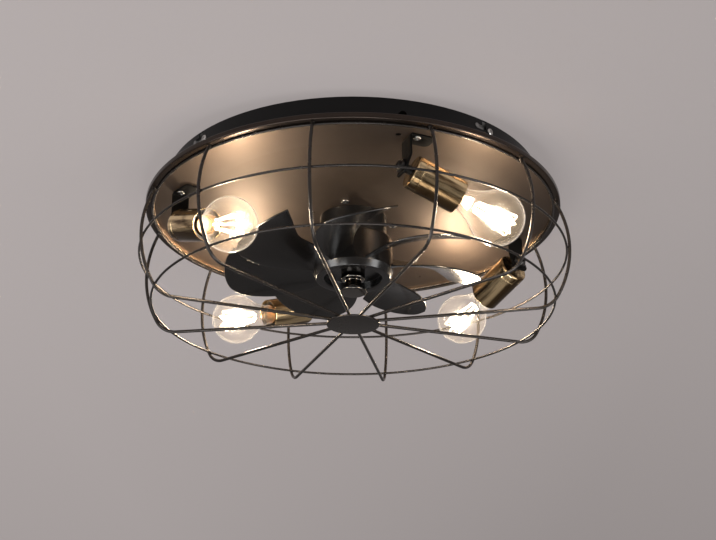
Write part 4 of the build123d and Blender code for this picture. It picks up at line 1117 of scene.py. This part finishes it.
# %% Pan-head screws
def pan_head(head_r, head_h, shank_r, shank_l):
    """A pan head below z = 0 with a cross recess, and its threaded shank above."""
    slopes = [radians(8 + 10 * s) for s in range(8)]
    dome = [(head_r * sin(a), -head_h * (0.42 + 0.58 * cos(a))) for a in slopes]
    outline = [(0, -head_h)] + dome + [(head_r, -head_h * 0.4), (head_r, -0.25), (head_r - 0.25, 0)]
    outline.append((shank_r, 0))
    pitch = 0.8
    for s in range(int(shank_l / pitch)):
        outline += [(shank_r, pitch * s + 0.2), (shank_r - 0.3, pitch * s + 0.6)]
    outline += [(shank_r, shank_l - 0.3), (shank_r - 0.4, shank_l), (0, shank_l)]
    screw = turned("screw", outline, 40)
    mouth = (-head_h - 0.4, head_r * 0.56, head_r * 0.13)     # an arm's height, half length and half width
    bottom = (-head_h + head_h * 0.75, head_r * 0.56 * 0.45, head_r * 0.08)
    rows = [[(reach, half, z), (-reach, half, z), (-reach, -half, z), (reach, -half, z)]
            for z, reach, half in (mouth, bottom)]
    cut(screw, *[skin("cutter", with_poles(rows), place=turn(quarter)) for quarter in (0, 90)])
    return screw


side_places = []
for k in range(4):
    head = outwards(90 * k + FIRST_SLOT + SCREW_STEP, DRUM_R + 0.1, SIDE_SCREW_Z)
    side_places.append(head @ Matrix.Rotation(pi, 4, "X") @ turn(25 + 31 * k))
fixings("canopy_side_screws", pan_head(4.0, 2.4, 2.0, 7.5), side_places, "canopy_screws")
motor_places = [turn(b) @ shift(0, -51, SEAT_Z) @ turn(20 + 37 * i) for i, b in enumerate((-10, 110, 230))]
fixings("motor_flange_screws", pan_head(4.6, 2.6, 2.5, 5.7), motor_places, "motor_screws")
strap_x = -9.0 * cos(radians(LAMP_DIP)) + 13.0 * sin(radians(LAMP_DIP))
strap_spot = Vector((strap_x + 9.5, -5.5, REFLECTOR_Z - 2.0 - LAMP_Z)) * MM
strap_places = [lamp_place(k) @ Matrix.Translation(strap_spot) @ turn(30 + 20 * k) for k in range(4)]
fixings("strap_screws", pan_head(4.4, 2.5, 2.0, 5.2), strap_places, "lamp_bracket_screws")


# %% A hexagon nut with chamfered corners
def hexagon(z, limit, corner=8.0, steps=72):
    """A row of points on a hexagon whose corners are cut at a radius."""
    turns = [2 * pi * s / steps for s in range(steps)]
    sides = [corner * cos(pi / 6) / cos((a + pi / 6) % (pi / 3) - pi / 6) for a in turns]
    return level_row(z, [min(side, limit) for side in sides])


nut_rows = [circle_row(0.6, 5.05), circle_row(0, 5.6), circle_row(0, 6.9), hexagon(0.25, 7.35),
            hexagon(0.6, 8.1), hexagon(3.4, 8.1), hexagon(3.75, 7.35), circle_row(4, 6.9),
            circle_row(4, 5.6), circle_row(3.4, 5.05)]
hex_nut = skin("nut", nut_rows, closed=True, angle=28)
fixings("cup_nuts", hex_nut, [lamp_axis(k) @ shift(0, 0, -14.0) for k in range(4)], "lamp_nuts", dark_zinc)

# %% [markdown]
# ## Pieces that keep their drawn shape
#
# The straps, the mounting plate, the terminal block and the box of the receiver are already right as
# packed, apart from their knife-sharp edges. A copy of such a mesh has its loose triangles merged into
# whole faces, and a narrow bevel rounds the edges, as bending and moulding do.

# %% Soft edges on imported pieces
def softened(name, node, width, material, slot):
    """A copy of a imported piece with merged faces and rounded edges."""
    bm = bmesh.new()
    bm.from_mesh(frame["nodes"][node].data)
    bmesh.ops.remove_doubles(bm, verts=bm.verts, dist=2e-6)
    bmesh.ops.dissolve_limit(bm, angle_limit=radians(1.5), verts=bm.verts, edges=bm.edges)
    mesh = bpy.data.meshes.new(name)
    bm.to_mesh(mesh)
    bm.free()
    if "custom_normal" in mesh.attributes:
        mesh.attributes.remove(mesh.attributes["custom_normal"])
    obj = linked(name, mesh)
    soft_edges(obj, width, 2, clamp=False)
    smooth(obj.data, 30)
    keep(obj, material, slot, node)


for k in range(4):
    softened(f"lamp_strap_{k + 1}", f"lamp_bracket_{k + 1}", 0.3, strap_paint, "black_paint")
softened("ceiling_plate", "mounting_plate", 0.3, zinc_steel, "zinc_steel")
softened("supply_terminals", "terminal_block", 0.4, gear_plastic, "gear_plastic")
softened("receiver_box", "receiver_case", 0.4, gear_plastic, "gear_plastic")
softened("receiver_box_lid", "receiver_lid", 0.5, gear_plastic, "gear_plastic")


# %% Measure and finish
low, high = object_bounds()
print("visual from", tuple(low), "to", tuple(high))
